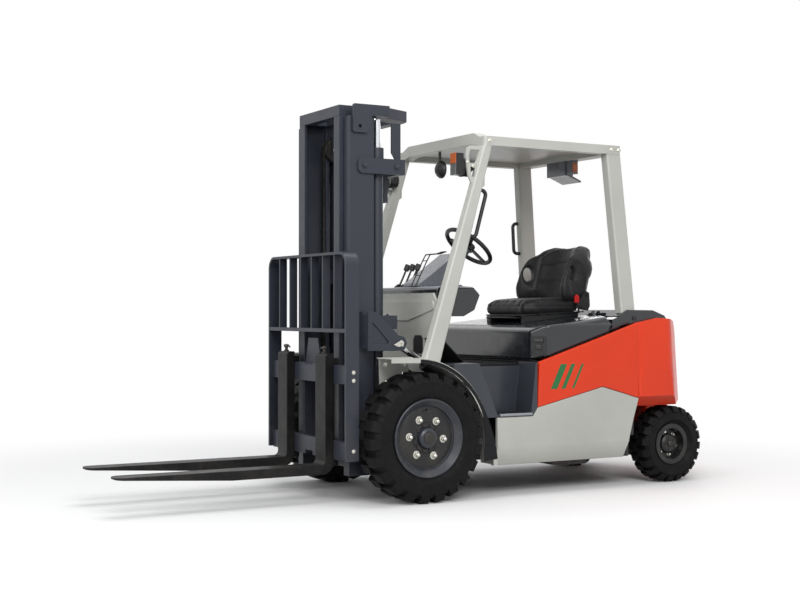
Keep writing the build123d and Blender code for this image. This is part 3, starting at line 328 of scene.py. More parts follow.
# Building blocks: forms drawn in truck millimetres, then set in the row frame.
class Form:
    """A mesh put together from bars, prisms, turned forms, tubes and bolts."""

    AXES = {"x": (Vector((0, 1, 0)), Vector((0, 0, 1)), Vector((1, 0, 0))),
            "y": (Vector((1, 0, 0)), Vector((0, 0, 1)), Vector((0, 1, 0))),
            "z": (Vector((1, 0, 0)), Vector((0, 1, 0)), Vector((0, 0, 1)))}

    def __init__(self):
        self.bm = bmesh.new()

    def skin(self, rings):
        """Joins rings of points with quads; the first and last ring are capped."""
        rows = [[self.bm.verts.new(point) for point in ring] for ring in rings]
        count = len(rows[0])
        for low, high in zip(rows, rows[1:]):
            for j in range(count):
                self.bm.faces.new((low[j], low[(j + 1) % count], high[(j + 1) % count], high[j]))
        self.bm.faces.new(list(reversed(rows[0])))
        self.bm.faces.new(rows[-1])

    def prism(self, points, axis, low, high):
        """A flat outline, drawn in the plane across an axis, drawn out along it."""
        u, v, w = self.AXES[axis]
        self.skin([[u * a + v * b + w * h for a, b in points] for h in (low, high)])

    def box(self, x0, x1, y0, y1, z0, z1):
        self.prism([(x0, y0), (x1, y0), (x1, y1), (x0, y1)], "z", z0, z1)

    def lathe(self, profile, place, axis, segments=32):
        """A turned form: (radius, height) pairs along an axis vector from a place."""
        axis = Vector(axis).normalized()
        across = axis.orthogonal().normalized()
        side = axis.cross(across)
        turns = [2 * math.pi * k / segments for k in range(segments)]
        rings = []
        for radius, height in profile:
            centre = Vector(place) + axis * height
            reach = max(radius, 0.05)
            rings.append([centre + (across * math.cos(a) + side * math.sin(a)) * reach for a in turns])
        self.skin(rings)

    def bolt(self, place, axis, flat, height, washer=1.5):
        """A hexagon head on a washer."""
        self.lathe([(flat * 0.82, 0), (flat * 0.82, washer)], place, axis, 24)
        head = flat * 0.577
        self.lathe([(head, washer), (head, height * 0.8), (flat * 0.47, height)], place, axis, 6)

    def tube(self, points, radius, segments=12):
        """A round bar along a line of points."""
        points = [Vector(point) for point in points]
        turns = [2 * math.pi * j / segments for j in range(segments)]
        last = len(points) - 1
        rings = []
        across = None
        for k, point in enumerate(points):
            run = (points[min(k + 1, last)] - points[max(k - 1, 0)]).normalized()
            across = (run.orthogonal() if across is None else across - run * across.dot(run)).normalized()
            side = run.cross(across)
            rings.append([point + (across * math.cos(a) + side * math.sin(a)) * radius for a in turns])
        self.skin(rings)

    def mirrored(self):
        """Adds the same forms on the truck's right."""
        copy = bmesh.ops.duplicate(self.bm, geom=self.bm.verts[:] + self.bm.edges[:] + self.bm.faces[:])
        verts = [item for item in copy["geom"] if isinstance(item, bmesh.types.BMVert)]
        faces = [item for item in copy["geom"] if isinstance(item, bmesh.types.BMFace)]
        bmesh.ops.scale(self.bm, vec=(1, -1, 1), verts=verts)
        bmesh.ops.reverse_faces(self.bm, faces=faces)
        return self

    def piece(self, name, look, body=None, round_by=0.0, smooth=35, segments=2):
        """The finished object, in the row frame, riding on a body."""
        bmesh.ops.recalc_face_normals(self.bm, faces=self.bm.faces)
        self.bm.transform(TO_ROW)
        mesh = bpy.data.meshes.new(name)
        self.bm.to_mesh(mesh)
        self.bm.free()
        mesh.materials.append(look)
        mesh.shade_smooth()
        mesh.set_sharp_from_angle(angle=math.radians(smooth))
        obj = bpy.data.objects.new(name, mesh)
        bpy.context.scene.collection.objects.link(obj)
        if round_by:
            soften(obj, round_by, segments, smooth)
        if body:
            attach(obj, body)
        return obj


def bow(points, steps=6):
    """A smooth line through a few points."""
    points = [Vector(point) for point in points]
    ends = [points[0] * 2 - points[1]] + points + [points[-1] * 2 - points[-2]]
    line = []
    for k in range(1, len(ends) - 2):
        a, b, c, d = ends[k - 1:k + 3]
        for j in range(steps):
            t = j / steps
            square = (2 * a - 5 * b + 4 * c - d) * t ** 2
            cube = (3 * b - a - 3 * c + d) * t ** 3
            line.append(0.5 * (2 * b + (c - a) * t + square + cube))
    return line + [points[-1]]


# Places on the truck, in millimetres.
FRONT_WHEEL = Vector((0, 514, 350))
REAR_WHEEL = Vector((-1755, 470, 228.5))
SIDES = (("left", 1), ("right", -1))


def around(centre, radius, height, count, side, phase=0.0):
    """Places on a circle on a wheel's outer face."""
    for k in range(count):
        a = 2 * math.pi * (k + phase) / count
        x = centre.x + radius * math.cos(a)
        z = centre.z + radius * math.sin(a)
        yield Vector((x, side * (centre.y + height), z))


# Front wheels: black disc, domed nuts, hub bolts and a valve. Rear wheels: bolts and a cap with screws.
DISC_Y, HUB_Y = 62, 70
NUT_R, HUB_BOLT_R, VALVE_R = 106, 69, 152
NUT_PHASE, VALVE_TURN = 0.083, 2.2 / 9
REAR_DISC_Y, REAR_HUB_Y = 10, 46
REAR_BOLT_R, REAR_SCREW_R = 71, 35
for side_name, side in SIDES:
    out = Vector((0, side, 0))
    front = Vector((FRONT_WHEEL.x, side * FRONT_WHEEL.y, FRONT_WHEEL.z))
    rear = Vector((REAR_WHEEL.x, side * REAR_WHEEL.y, REAR_WHEEL.z))
    body = "wheel_front_" + side_name
    disc = Form()
    disc_profile = [(163, -1), (163, 2), (160, 3.5), (84, 3.5), (82, -1)]
    hub_profile = [(79, -1), (79, 1.5), (77, 2.5), (60, 2.5), (58, -1)]
    disc.lathe([(radius, DISC_Y + height) for radius, height in disc_profile], front, out, 96)
    disc.lathe([(radius, HUB_Y + height) for radius, height in hub_profile], front, out, 64)
    disc.piece("front_wheel_disc_" + side_name, RIM_BLACK, body)
    nuts = Form()
    for place in around(FRONT_WHEEL, NUT_R, DISC_Y + 3, 6, side, NUT_PHASE):
        nuts.lathe([(21, 0), (21, 3), (18, 4)], place, out, 28)
        nuts.lathe([(17, 4), (17, 18), (14.5, 20)], place, out, 6)
        nuts.lathe([(12.5, 19), (12, 24), (9, 29), (4, 31.5), (0, 32)], place, out, 24)
    nuts.piece("front_wheel_nuts_" + side_name, ZINC, body)
    hub = Form()
    hub.lathe([(34, 102), (33, 106), (26, 109), (8, 110.5), (0, 110.5)], front, out, 48)
    for place in around(FRONT_WHEEL, HUB_BOLT_R, HUB_Y + 2, 10, side):
        hub.bolt(place, out, 13, 8)
    for place in around(FRONT_WHEEL, VALVE_R, DISC_Y, 1, side, VALVE_TURN):
        hub.lathe([(7, 0), (7, 5), (4.5, 6), (4.5, 26), (5.5, 27), (5.5, 34), (0, 35)], place, out, 16)
    hub.piece("front_hub_cap_" + side_name, OILED, body)
    bolts = Form()
    for place in around(REAR_WHEEL, REAR_BOLT_R, REAR_DISC_Y, 6, side, 0.25):
        bolts.bolt(place, out, 17, 13, 2)
    bolts.piece("rear_wheel_bolts_" + side_name, ZINC, "wheel_rear_" + side_name)
    cap = Form()
    for place in around(REAR_WHEEL, REAR_SCREW_R, REAR_HUB_Y, 5, side):
        cap.bolt(place, out, 8, 5, 0.8)
    cap.lathe([(21, REAR_HUB_Y), (20, 52), (13, 57), (0, 58)], rear, out, 32)
    cap.piece("rear_hub_cap_" + side_name, OILED, "wheel_rear_" + side_name)

# Leaf chains: stacks of plates on pins, over the sheaves and down to the carriage and the outer mast.
CHAIN_Y, CHAIN_PITCH = 130, 24.0
SHEAVE = Vector((195, 0, 1950))
CHAIN_R = 69.0
CARRIAGE_ANCHOR_Z, MAST_ANCHOR_Z = 400, 1664
PLATE_Y, PLATE_HALF = (-9.5, -5.7, -1.9, 1.9, 5.7, 9.5), 1.7


def chain_line(points):
    """Evenly spaced pin centres along a line."""
    pins = [Vector(points[0])]
    left = CHAIN_PITCH
    for a, b in zip(points, points[1:]):
        a, b = Vector(a), Vector(b)
        span = (b - a).length
        done = 0.0
        while span - done >= left:
            done += left
            pins.append(a.lerp(b, done / span))
            left = CHAIN_PITCH
        left -= span - done
    return pins


def leaf_chain(form, pins, y):
    """Link plates, every other one to a pair of pins, and the pins through them."""
    across = Vector((0, 1, 0))
    for k, pin in enumerate(pins):
        centre = Vector((pin.x, y, pin.z))
        form.lathe([(3.4, -12.5), (3.4, 12.5)], centre, across, 10)
        if k + 1 == len(pins):
            continue
        run = (pins[k + 1] - pin).normalized()
        rise = run.cross(across)
        length = (pins[k + 1] - pin).length
        shape = [
            (-6, -4.2), (-3.5, -6.4), (3.5, -6.4), (length / 2, -4.6), (length - 3.5, -6.4),
            (length + 3.5, -6.4), (length + 6, -4.2), (length + 6, 4.2), (length + 3.5, 6.4),
            (length - 3.5, 6.4), (length / 2, 4.6), (3.5, 6.4), (-3.5, 6.4), (-6, 4.2),
        ]
        for j, offset in enumerate(PLATE_Y):
            if j % 2 == k % 2:
                rings = []
                for y0 in (offset - PLATE_HALF, offset + PLATE_HALF):
                    rings.append([centre + across * y0 + run * a + rise * b for a, b in shape])
                form.skin(rings)


wrap = [(SHEAVE.x + CHAIN_R * math.cos(a), 0, SHEAVE.z + CHAIN_R * math.sin(a))
        for a in [math.pi * k / 24 for k in range(13)]]
front_pins = chain_line([(SHEAVE.x + CHAIN_R, 0, CARRIAGE_ANCHOR_Z + 8)] + wrap)
rear_pins = chain_line([(SHEAVE.x - CHAIN_R, 0, MAST_ANCHOR_Z + 8), (SHEAVE.x - CHAIN_R, 0, SHEAVE.z)]
                       + [(2 * SHEAVE.x - x, y, z) for x, y, z in wrap[1:]])
for node, pins, bodies, low in (("chains_front", front_pins, ("inner_mast", "carriage"), CARRIAGE_ANCHOR_Z),
                                ("chains_rear", rear_pins, ("inner_mast", "outer_mast"), MAST_ANCHOR_Z)):
    chain = Form()
    for y in (CHAIN_Y, -CHAIN_Y):
        leaf_chain(chain, pins, y)
    chain = chain.piece(node.replace("chains", "leaf_chains"), OILED)
    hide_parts(node)
    x = pins[0].x
    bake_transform(chain)

# Mast fittings: pin keepers on the tilt ears, bolts on the bands, sheave pin caps, chain anchors.
EAR_Y, BAND_Y, APRON_Y = 412, 333, 398
keeper = Form()
keeper.prism([(58, 872), (108, 846), (78, 834), (50, 840), (44, 858)], "y", EAR_Y + 4, EAR_Y + 9)
for x, z in ((62, 857), (92, 846), (56, 845)):
    keeper.bolt((x, EAR_Y + 9, z), (0, 1, 0), 11, 7)
keeper.mirrored().piece("tilt_pin_keepers", ZINC, "outer_mast", 1)
mast_bolts = Form()
for x, z in ((40, 1822), (240, 1822)):
    mast_bolts.bolt((x, BAND_Y, z), (0, 1, 0), 22, 12, 3)
for z in (1000, 945):
    mast_bolts.bolt((78, 296, z), (1, 0, 0), 18, 10, 2.5)
mast_bolts.mirrored().piece("mast_bolts", SLATE, "outer_mast")
sheave_caps = Form()
for way in (1, -1):
    place = (SHEAVE.x, CHAIN_Y + way * 27, SHEAVE.z)
    sheave_caps.lathe([(19, 0), (19, 4), (15, 6), (0, 6)], place, (0, way, 0), 28)
sheave_caps.mirrored().piece("sheave_pin_caps", ZINC, "inner_mast")
anchors = Form()
anchors.box(254, 274, CHAIN_Y - 13, CHAIN_Y + 13, 392, 424)
anchors.lathe([(8, 0), (8, 62)], (264, CHAIN_Y, 338), (0, 0, 1), 16)
anchors.bolt((264, CHAIN_Y, 300), (0, 0, -1), 26, 18, 3)
anchors.mirrored().piece("chain_anchors_carriage", OILED, "carriage", 1)
mast_anchors = Form()
mast_anchors.box(116, 136, CHAIN_Y - 13, CHAIN_Y + 13, 1662, 1690)
mast_anchors.bolt((126, CHAIN_Y, 1640), (0, 0, -1), 26, 18, 3)
mast_anchors.mirrored().piece("chain_anchors_mast", OILED, "outer_mast", 1)

# Carriage: side bolts and fork locking pins.
carriage_bolts = Form()
for z in (705, 662, 290):
    carriage_bolts.bolt((395, 496, z), (0, 1, 0), 13, 8, 2)
carriage_bolts.mirrored().piece("carriage_bolts", ZINC, "carriage")
lock_pins = Form()
pin_profile = [(15, 0), (15, 6), (9, 8), (9, 22), (14, 24), (16, 30), (14, 38), (6, 41), (0, 41)]
lock_pins.lathe(pin_profile, (441, 245, 800), (0, 0, 1), 28)
lock_pins.tube([(441, 234, 826), (441, 205, 830), (441, 196, 822)], 3.5, 10)
lock_pins.mirrored().piece("fork_lock_pins", OILED, "carriage")

# Lamps on the front posts, the rear lamp and the driver's mirror.
LAMP_X, LAMP_Z, LAMP_Y = -421, 1828, 412
SIGNAL = (LAMP_X + 140, LAMP_X + 159, 402, 461)
lamp_foot = (LAMP_X, LAMP_Y, LAMP_Z)
clear_lens = Form()
clear_lens.lathe([(39, 100), (39, 103), (30, 107), (15, 109.5), (0, 110)], lamp_foot, (1, 0, 0), 40)
amber = Form()


def ribbed_lens(form, z0, z1, ribs):
    """A lens cap with upright flutes on its front."""
    x0, x1, y0, y1 = SIGNAL
    front_line = []
    for k in range(ribs * 4 + 1):
        y = y0 + (y1 - y0) * k / (ribs * 4)
        front_line.append((x1 + 1.6 * abs(math.sin(math.pi * k / 4)), y))
    form.prism([(x0, y0)] + front_line + [(x0, y1)], "z", z0, z1)


ribbed_lens(amber, LAMP_Z + 22, LAMP_Z + 81, 8)
ribbed_lens(clear_lens, LAMP_Z - 43, LAMP_Z + 20, 8)
amber.mirrored().piece("signal_lenses", AMBER, "chassis", 2)
clear_lens.mirrored().piece("lamp_lenses", CLEAR, "chassis", 2)
lamp_rims = Form()
rim_profile = [(46.5, 84), (48, 86), (48, 97), (46, 102), (41, 102), (40, 96)]
lamp_rims.lathe(rim_profile, lamp_foot, (1, 0, 0), 48)
for k in range(5):
    z = LAMP_Z - 32 + 16 * k
    half = math.sqrt(46 ** 2 - (z - LAMP_Z) ** 2) * 0.92
    lamp_rims.box(LAMP_X + 44, LAMP_X + 51, LAMP_Y - half, LAMP_Y + half, z - 2.5, z + 2.5)
lamp_rims.mirrored().piece("lamp_rims", TRIM, "chassis", 1)
bracket_bolts = Form()
for x, z in ((LAMP_X + 52, LAMP_Z + 10), (LAMP_X + 88, LAMP_Z + 30), (LAMP_X + 30, LAMP_Z - 82)):
    bracket_bolts.bolt((x, 474, z), (0, 1, 0), 13, 8)
bracket_bolts.mirrored().piece("lamp_bracket_bolts", ZINC, "chassis")
beacon = Form()
beacon.box(-1362, -1322, 118, 123, 1884, 1942)
beacon.piece("rear_lamp_amber", AMBER, "chassis", 3)
rear_lens = Form()
for y0, y1 in ((-126, -72), (-66, -6), (0, 56)):
    rear_lens.box(-1374.5, -1370, y0, y1, 1874, 1950)
rear_lens.piece("rear_lamp_red", RED, "chassis", 2)
mirror_glass = Form()
mirror_glass.lathe([(47, 0), (47, 1.5), (40, 3), (20, 4.6), (0, 5)], (-492, -60, 1872), (-1, 0, 0), 48)
mirror_glass.piece("mirror_glass", GLASS, "chassis")

# Driver's place: dash cover, display, wire holder, lever boots, pedal ribs, floor mat and step treads.
DASH_Z = 1156
cover_points = [
    (-158, 1146), (-158, 1163), (-300, 1171), (-392, 1164), (-432, 1124), (-441, 1118), (-436, 1114),
    (-398, 1156), (-170, 1157),
]
dash_cover = Form()
dash_cover.prism(cover_points, "y", -432, 432)
dash_cover.piece("dash_cover", SILVER, "chassis", 5, segments=3)
display = Form()
display.prism([(-372, 1172), (-425, 1140), (-431, 1146), (-378, 1180)], "y", 165, 330)
display.piece("dash_display", GLOSS, "chassis", 3)
COLUMN_AXIS = Vector((-120, 0, 145)).normalized()
collar = Form()
for k in range(4):
    share = k / 3
    width = 78 - 10 * share
    place = (-508 - 22 * share, 0, 1300 + 26 * share)
    collar.lathe([(width * 0.46, -4), (width * 0.5, 0), (width * 0.46, 4)], place, COLUMN_AXIS, 32)
collar.piece("column_collar", TRIM, "chassis")
holder = Form()
WIRE_R = 3.6
wire_line = [(-205, 1160), (-222, 1200), (-296, 1340), (-318, 1357), (-372, 1362), (-412, 1374)]
for y in (112, 62):
    holder.tube(bow([(x, y, z) for x, z in wire_line]), WIRE_R)
wire_end = [(-412, 112, 1374), (-414, 110, 1374), (-415, 87, 1375), (-414, 64, 1374), (-412, 62, 1374)]
holder.tube(bow(wire_end, 3), WIRE_R)
for x, z in ((-240, 1235), (-285, 1320)):
    holder.tube([(x, 112, z), (x, 62, z)], 2.6, 8)
holder.box(-218, -192, 52, 122, 1166, 1172)
holder.piece("wire_holder", TRIM, "chassis")
boots = Form()
lean = Vector((-62, 0, 131)).normalized()
for k in range(3):
    foot = Vector((-343, -200 - 65 * k, DASH_Z + 6))
    boots.lathe([(27, 2), (26, 8), (19, 11), (22, 16), (15, 19), (18, 24), (10, 28), (8, 34)], foot, lean, 28)
boots.piece("lever_boots", TRIM, "chassis")
horn_cap = Form()
horn_cap.lathe([(36, 13), (35, 17), (29, 20), (12, 22), (0, 22)], (-640, 0, 1415), COLUMN_AXIS, 40)
horn_cap.piece("horn_cap", PLASTIC, "steering_wheel")
FLOOR_Z = 730
mat_ribs = Form()
for k in range(15):
    x = -385 - 23 * k
    rib = [(x - 5, FLOOR_Z), (x - 3, FLOOR_Z + 3), (x + 3, FLOOR_Z + 3), (x + 5, FLOOR_Z)]
    mat_ribs.prism(rib, "y", -400, 400)
mat_ribs.piece("floor_mat_ribs", MAT, "chassis")
TOE_FOOT_X, TOE_TOP_X, TOE_RISE = -360, -153, 195
toe = Vector((TOE_TOP_X - TOE_FOOT_X, 0, TOE_RISE)).normalized()
toe_up = Vector((-toe.z, 0, toe.x))
pedal_ribs = Form()
for y, width in ((-155, 58), (0, 106), (165, 58)):
    middle = Vector((TOE_FOOT_X, y, FLOOR_Z)) + toe * 130 + toe_up * 53
    for k in range(5):
        centre = middle + toe * (k - 2) * 20
        rings = []
        for h, w in ((0, 5), (3.5, 3)):
            rings.append([centre + toe_up * h + toe * a + Vector((0, b, 0)) for a, b in
                          ((-w, -width / 2), (w, -width / 2), (w, width / 2), (-w, width / 2))])
        pedal_ribs.skin(rings)
pedal_ribs.piece("pedal_ribs", MAT, "chassis")
STEP_Z = 455
treads = Form()
for k in range(9):
    y = 440 + 15 * k
    rib = [(y - 4.5, STEP_Z), (y - 2.5, STEP_Z + 4), (y + 2.5, STEP_Z + 4), (y + 4.5, STEP_Z)]
    treads.prism(rib, "x", -672, -478)
treads.mirrored().piece("step_treads", MAT, "chassis")
step_lips = Form()
lip = [(579, STEP_Z - 8), (594.5, STEP_Z - 8), (594.5, STEP_Z + 2), (590, STEP_Z + 5), (579, STEP_Z + 5)]
step_lips.prism(lip, "x", -686, -470)
step_lips.mirrored().piece("step_lips", SILVER, "chassis", 1.5)

# Black plates painted as the shade in the holes where the tilt cylinders pass through the cowl.
COWL_X = -140
opening = Form()
plate = [(206, 792), (296, 792), (308, 804), (308, 876), (294, 894), (226, 894), (206, 872)]
opening.prism(plate, "x", COWL_X - 2, COWL_X + 3)
# Painted shade: a flat black plate stands for the dark hole through the cowl.
opening.mirrored().piece("cowl_hole_shade", TRIM, "chassis", 1.5)

# Rubber seal between the floor and the hood's front edge.
seal = Form()
seal_section = [(-760, -4), (-746, -4), (-744, 8), (-749, 18), (-757, 18)]
seal.prism([(x, FLOOR_Z + z) for x, z in seal_section], "y", -556, 556)
seal.piece("hood_seal", MAT, "chassis", 1.5)

# Hood latch in a black recess on the front corner, caps at the feet of the rear posts.
NOSE_FRONT, NOSE_SIDE = Vector((-742, 485, 0)), Vector((-812, 575, 0))
corner = (NOSE_SIDE - NOSE_FRONT).normalized()
corner_out = Vector((corner.y, -corner.x, 0))
nose = (NOSE_FRONT + NOSE_SIDE) / 2


def nose_plate(form, along0, along1, z0, z1, depth, base=0.0):
    """A flat plate on the slanted corner between the hood's front and its side."""
    rings = []
    for h in (base, base + depth):
        rings.append([nose + corner * a + corner_out * h + Vector((0, 0, z)) for a, z in
                      ((along0, z0), (along1, z0), (along1, z1), (along0, z1))])
    form.skin(rings)


recess = Form()
nose_plate(recess, -46, 44, 775, 888, 3, -1)
recess.mirrored().piece("hood_nose_recess", TRIM, "hood", 1)
latch = Form()
nose_plate(latch, -28, 26, 852, 872, 12, 1)
nose_plate(latch, -18, 16, 812, 838, 8, 1)
latch.mirrored().piece("hood_latches", GLOSS, "hood", 3)
post_caps = Form()
post_caps.box(-1472, -1444, 538, 545, 974, 1000)
post_caps.mirrored().piece("rear_post_caps", TRIM, "chassis", 2)

# Plain stripes on the side panels.
stripes = Form()
for k, width in enumerate((44, 28, 16)):
    x = -812 - 74 * k
    stripes.prism([(x, 588), (x - width, 588), (x - width - 70, 728), (x - 70, 728)], "y", 592.6, 593.5)
stripes.mirrored().piece("side_stripes", GREEN, "chassis")

# Rubber edge strips inside the fender lips, widening to a flap at the tail.
FENDER_Y, LINER_GAP = 605, 362
STRIP_DEPTH, FLAP_DEPTH, FLAP_FROM = 27, 68, 40
CROWN_MID, CROWN_R, CROWN_ARC = Vector((64, 0, 322)), 456, 58
TAIL_MID, TAIL_R, TAIL_ARC = Vector((427.8, 0, 94.6)), 885, 84
liner_rings = []
for angle in range(2, TAIL_ARC, 2):
    middle, radius = (CROWN_MID, CROWN_R) if angle < CROWN_ARC else (TAIL_MID, TAIL_R)
    way = Vector((-math.sin(math.radians(angle)), 0, math.cos(math.radians(angle))))
    edge = middle + way * radius
    flap = FLAP_DEPTH * max(0, angle - FLAP_FROM) / (TAIL_ARC - FLAP_FROM)
    room = (edge - Vector((0, 0, FRONT_WHEEL.z))).length - LINER_GAP
    depth = min(STRIP_DEPTH + flap, room)
    ring = []
    for inset, proud in ((6, -3), (6, 1.2), (depth, 1.2), (depth, -3)):
        ring.append(edge - way * inset + Vector((0, FENDER_Y + proud, 0)))
    liner_rings.append(ring)
liner = Form()
liner.skin(liner_rings)
liner.mirrored().piece("fender_liners", MAT, "chassis")

# Bolts on the fender aprons and the guard.
apron_bolts = Form()
for x, z in ((30, 740), (150, 740), (40, 690), (140, 650)):
    apron_bolts.bolt((x, APRON_Y, z), (0, 1, 0), 15, 8, 2)
apron_bolts.mirrored().piece("apron_bolts", ZINC, "chassis")
guard_bolts = Form()
for x in (-470, -1385, -1330):
    guard_bolts.bolt((x, 490, 1984), (0, 1, 0), 17, 9, 2)
for x in (-560, -800, -1040, -1270):
    guard_bolts.bolt((x, 408, 1996), (0, 0, 1), 13, 7, 2)
guard_bolts.mirrored().piece("guard_bolts", ZINC, "chassis")


# Seat: cushion and back swell under cloth pressure from rounded copies of their solids.
VOXEL = 0.0065
PRESSURE, CLOTH_STEPS = 4, 20


def pad(name, node, inset, cap, rounding, hole=None):
    """A stuffed cover that sits in its solid's place, with an opening where a form cuts it."""
    mesh = nodes[node].data.copy()
    obj = bpy.data.objects.new(name, mesh)
    bpy.context.scene.collection.objects.link(obj)
    if hole:
        opened = obj.modifiers.new("opened", "BOOLEAN")
        opened.operation = "DIFFERENCE"
        opened.solver = "EXACT"
        opened.object = hole
    remesh = obj.modifiers.new("remesh", "REMESH")
    remesh.mode = "VOXEL"
    remesh.voxel_size = VOXEL
    depsgraph = bpy.context.evaluated_depsgraph_get()
    obj.data = bpy.data.meshes.new_from_object(obj.evaluated_get(depsgraph))
    obj.modifiers.clear()
    if hole:
        bpy.data.objects.remove(hole)
    shape = bmesh.new()
    shape.from_mesh(obj.data)
    for _ in range(rounding):
        bmesh.ops.smooth_vert(shape, verts=shape.verts, factor=0.5,
                              use_axis_x=True, use_axis_y=True, use_axis_z=True)
    shape.to_mesh(obj.data)
    shape.free()
    for vert in obj.data.vertices:
        vert.co -= vert.normal * inset / 1000
    start = [vert.co.copy() for vert in obj.data.vertices]
    cloth = obj.modifiers.new("cloth", "CLOTH")
    cloth.settings.quality = 4
    cloth.settings.mass = 0.3
    cloth.settings.use_pressure = True
    cloth.settings.uniform_pressure_force = PRESSURE
    cloth.settings.tension_stiffness = 25
    cloth.settings.compression_stiffness = 25
    cloth.settings.bending_stiffness = 3
    cloth.settings.effector_weights.gravity = 0
    cloth.collision_settings.use_collision = False
    for step in range(1, CLOTH_STEPS + 1):
        bpy.context.scene.frame_set(step)
    swollen = obj.evaluated_get(bpy.context.evaluated_depsgraph_get()).data
    for vert, old, new in zip(obj.data.vertices, start, swollen.vertices):
        move = new.co - old
        if move.length > cap / 1000:
            move *= cap / 1000 / move.length
        vert.co = old + move
    obj.modifiers.clear()
    bpy.context.scene.frame_set(1)
    obj.data.materials.clear()
    obj.data.materials.append(VINYL)
    obj.data.shade_smooth()
    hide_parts(node)
    return obj


def seam(obj, distance, depth, width):
    """Sinks a sewn line where distance(point in truck mm) is near zero."""
    normals = [vert.normal.copy() for vert in obj.data.vertices]
    for vert, normal in zip(obj.data.vertices, normals):
        point = vert.co * 1000
        point.x -= SHIFT
        gap = distance(point, normal)
        if gap is not None:
            vert.co -= normal * depth / 1000 * math.exp(-(gap / width) ** 2)


def finish_pad(obj):
    """Evens the cover, makes it finer and puts it on the hood."""
    smooth = obj.modifiers.new("fair", "SMOOTH")
    smooth.factor = 0.35
    smooth.iterations = 3
    finer = obj.modifiers.new("finer", "SUBSURF")
    finer.levels = finer.render_levels = 1
    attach(obj, "hood")


cushion = pad("seat_cushion_cover", "seat_cushion", -3, 16, 40)
seam(cushion, lambda p, n: abs(p.y) - 152 if n.z > 0.2 else None, 7, 7)
seam(cushion, lambda p, n: p.x + 1010 if n.z > 0.5 and abs(p.y) < 150 else None, 6, 7)
seam(cushion, lambda p, n: p.x + 1140 if n.z > 0.5 and abs(p.y) < 150 else None, 6, 7)
seam(cushion, lambda p, n: p.z - 1058 if abs(n.z) < 0.75 else None, 4, 5)
finish_pad(cushion)
WING_HOLE, HOLE_HALF_X, HOLE_HALF_Z = Vector((-1225, 0, 1258)), 27, 54
wing_holes = Form()
rings = []
turns = [2 * math.pi * k / 32 for k in range(32)]
for y in (150, 275):
    rings.append([WING_HOLE + Vector((HOLE_HALF_X * math.cos(a), y, HOLE_HALF_Z * math.sin(a))) for a in turns])
wing_holes.skin(rings)
wing_holes = wing_holes.mirrored().piece("wing_holes", VINYL)
back = pad("seat_back_cover", "seat_back", -5, 16, 90, wing_holes)
seam(back, lambda p, n: abs(p.y) - 148 if n.x > 0.3 else None, 7, 7)
seam(back, lambda p, n: p.z - 1215 if n.x > 0.3 and abs(p.y) < 146 else None, 6, 7)
seam(back, lambda p, n: p.z - 1330 if n.x > 0.3 and abs(p.y) < 146 else None, 6, 7)
finish_pad(back)
buckle = Form()
buckle.box(-1262, -1232, 252, 268, 1078, 1120)
buckle.prism([(-1258, 1120), (-1236, 1120), (-1240, 1128), (-1254, 1128)], "y", 254, 266)
buckle.piece("belt_buckle", RED_PLASTIC, "hood", 3)
stalk = Form()
stalk.tube(bow([(-1268, 250, 1018), (-1262, 258, 1040), (-1250, 260, 1078)]), 6)
stalk.piece("buckle_stalk", TRIM, "hood")
recliner = Form()
recliner_plate = [
    (-1335, 1032), (-1262, 1040), (-1258, 1068), (-1300, 1130), (-1322, 1150), (-1345, 1140), (-1350, 1060),
]
recliner.prism(recliner_plate, "y", 250, 257)
for x, z in ((-1280, 1056), (-1328, 1126)):
    recliner.bolt((x, 257, z), (0, 1, 0), 14, 8, 2)
recliner.mirrored().piece("seat_recliner_plates", TRIM, "hood", 1.5)
slide_bar = Form()
bar_line = [
    (-930, -150, 985), (-872, -146, 988), (-862, -120, 990), (-862, 0, 990), (-862, 120, 990),
    (-872, 146, 988), (-930, 150, 985),
]
slide_bar.tube(bow(bar_line), 5)
slide_bar.piece("seat_slide_bar", TRIM, "hood")


# Camera, light and floor.
CAMERA_PLACE, CAMERA_LENS = (3.9065, 6.709, 1.032), 59.88
CAMERA_YAW, CAMERA_PITCH = math.radians(29.648), math.radians(0.4547)
AMBIENT = 0.36
FLOOR_PALE, FLOOR_BOUNCE = (0.9, 0.9, 0.9, 1), (0.42, 0.42, 0.42, 1)
FADE_FROM, FADE_TO = 1.6, 4.2
camera_data = bpy.data.cameras.new("camera")
camera = bpy.data.objects.new("camera", camera_data)
bpy.context.scene.collection.objects.link(camera)
level = math.cos(CAMERA_PITCH)
sight = Vector((-math.sin(CAMERA_YAW) * level, -math.cos(CAMERA_YAW) * level, math.sin(CAMERA_PITCH)))
camera.location = CAMERA_PLACE
camera.rotation_euler = sight.to_track_quat("-Z", "Y").to_euler()
camera_data.sensor_width = 36
camera_data.lens = CAMERA_LENS
camera_data.clip_end = 200
bpy.context.scene.camera = camera


def area_light(name, place, target, size, power):
    data = bpy.data.lights.new(name, "AREA")
    data.shape = "RECTANGLE"
    data.size, data.size_y = size
    data.energy = power
    lamp = bpy.data.objects.new(name, data)
    bpy.context.scene.collection.objects.link(lamp)
    lamp.location = place
    lamp.rotation_euler = (Vector(target) - Vector(place)).to_track_quat("-Z", "Y").to_euler()


area_light("key", (2.5, 7.0, 5.5), (-0.3, 0.2, 0.9), (5, 4), 440)
area_light("front_fill", (7.0, 1.5, 3.2), (0.3, 0, 1.0), (4, 3), 140)
area_light("top", (-0.5, 0.0, 6.5), (-0.5, 0, 0), (5, 4), 180)
area_light("rear_fill", (-6.0, -4.0, 3.5), (-0.5, 0, 1.0), (4, 3), 60)


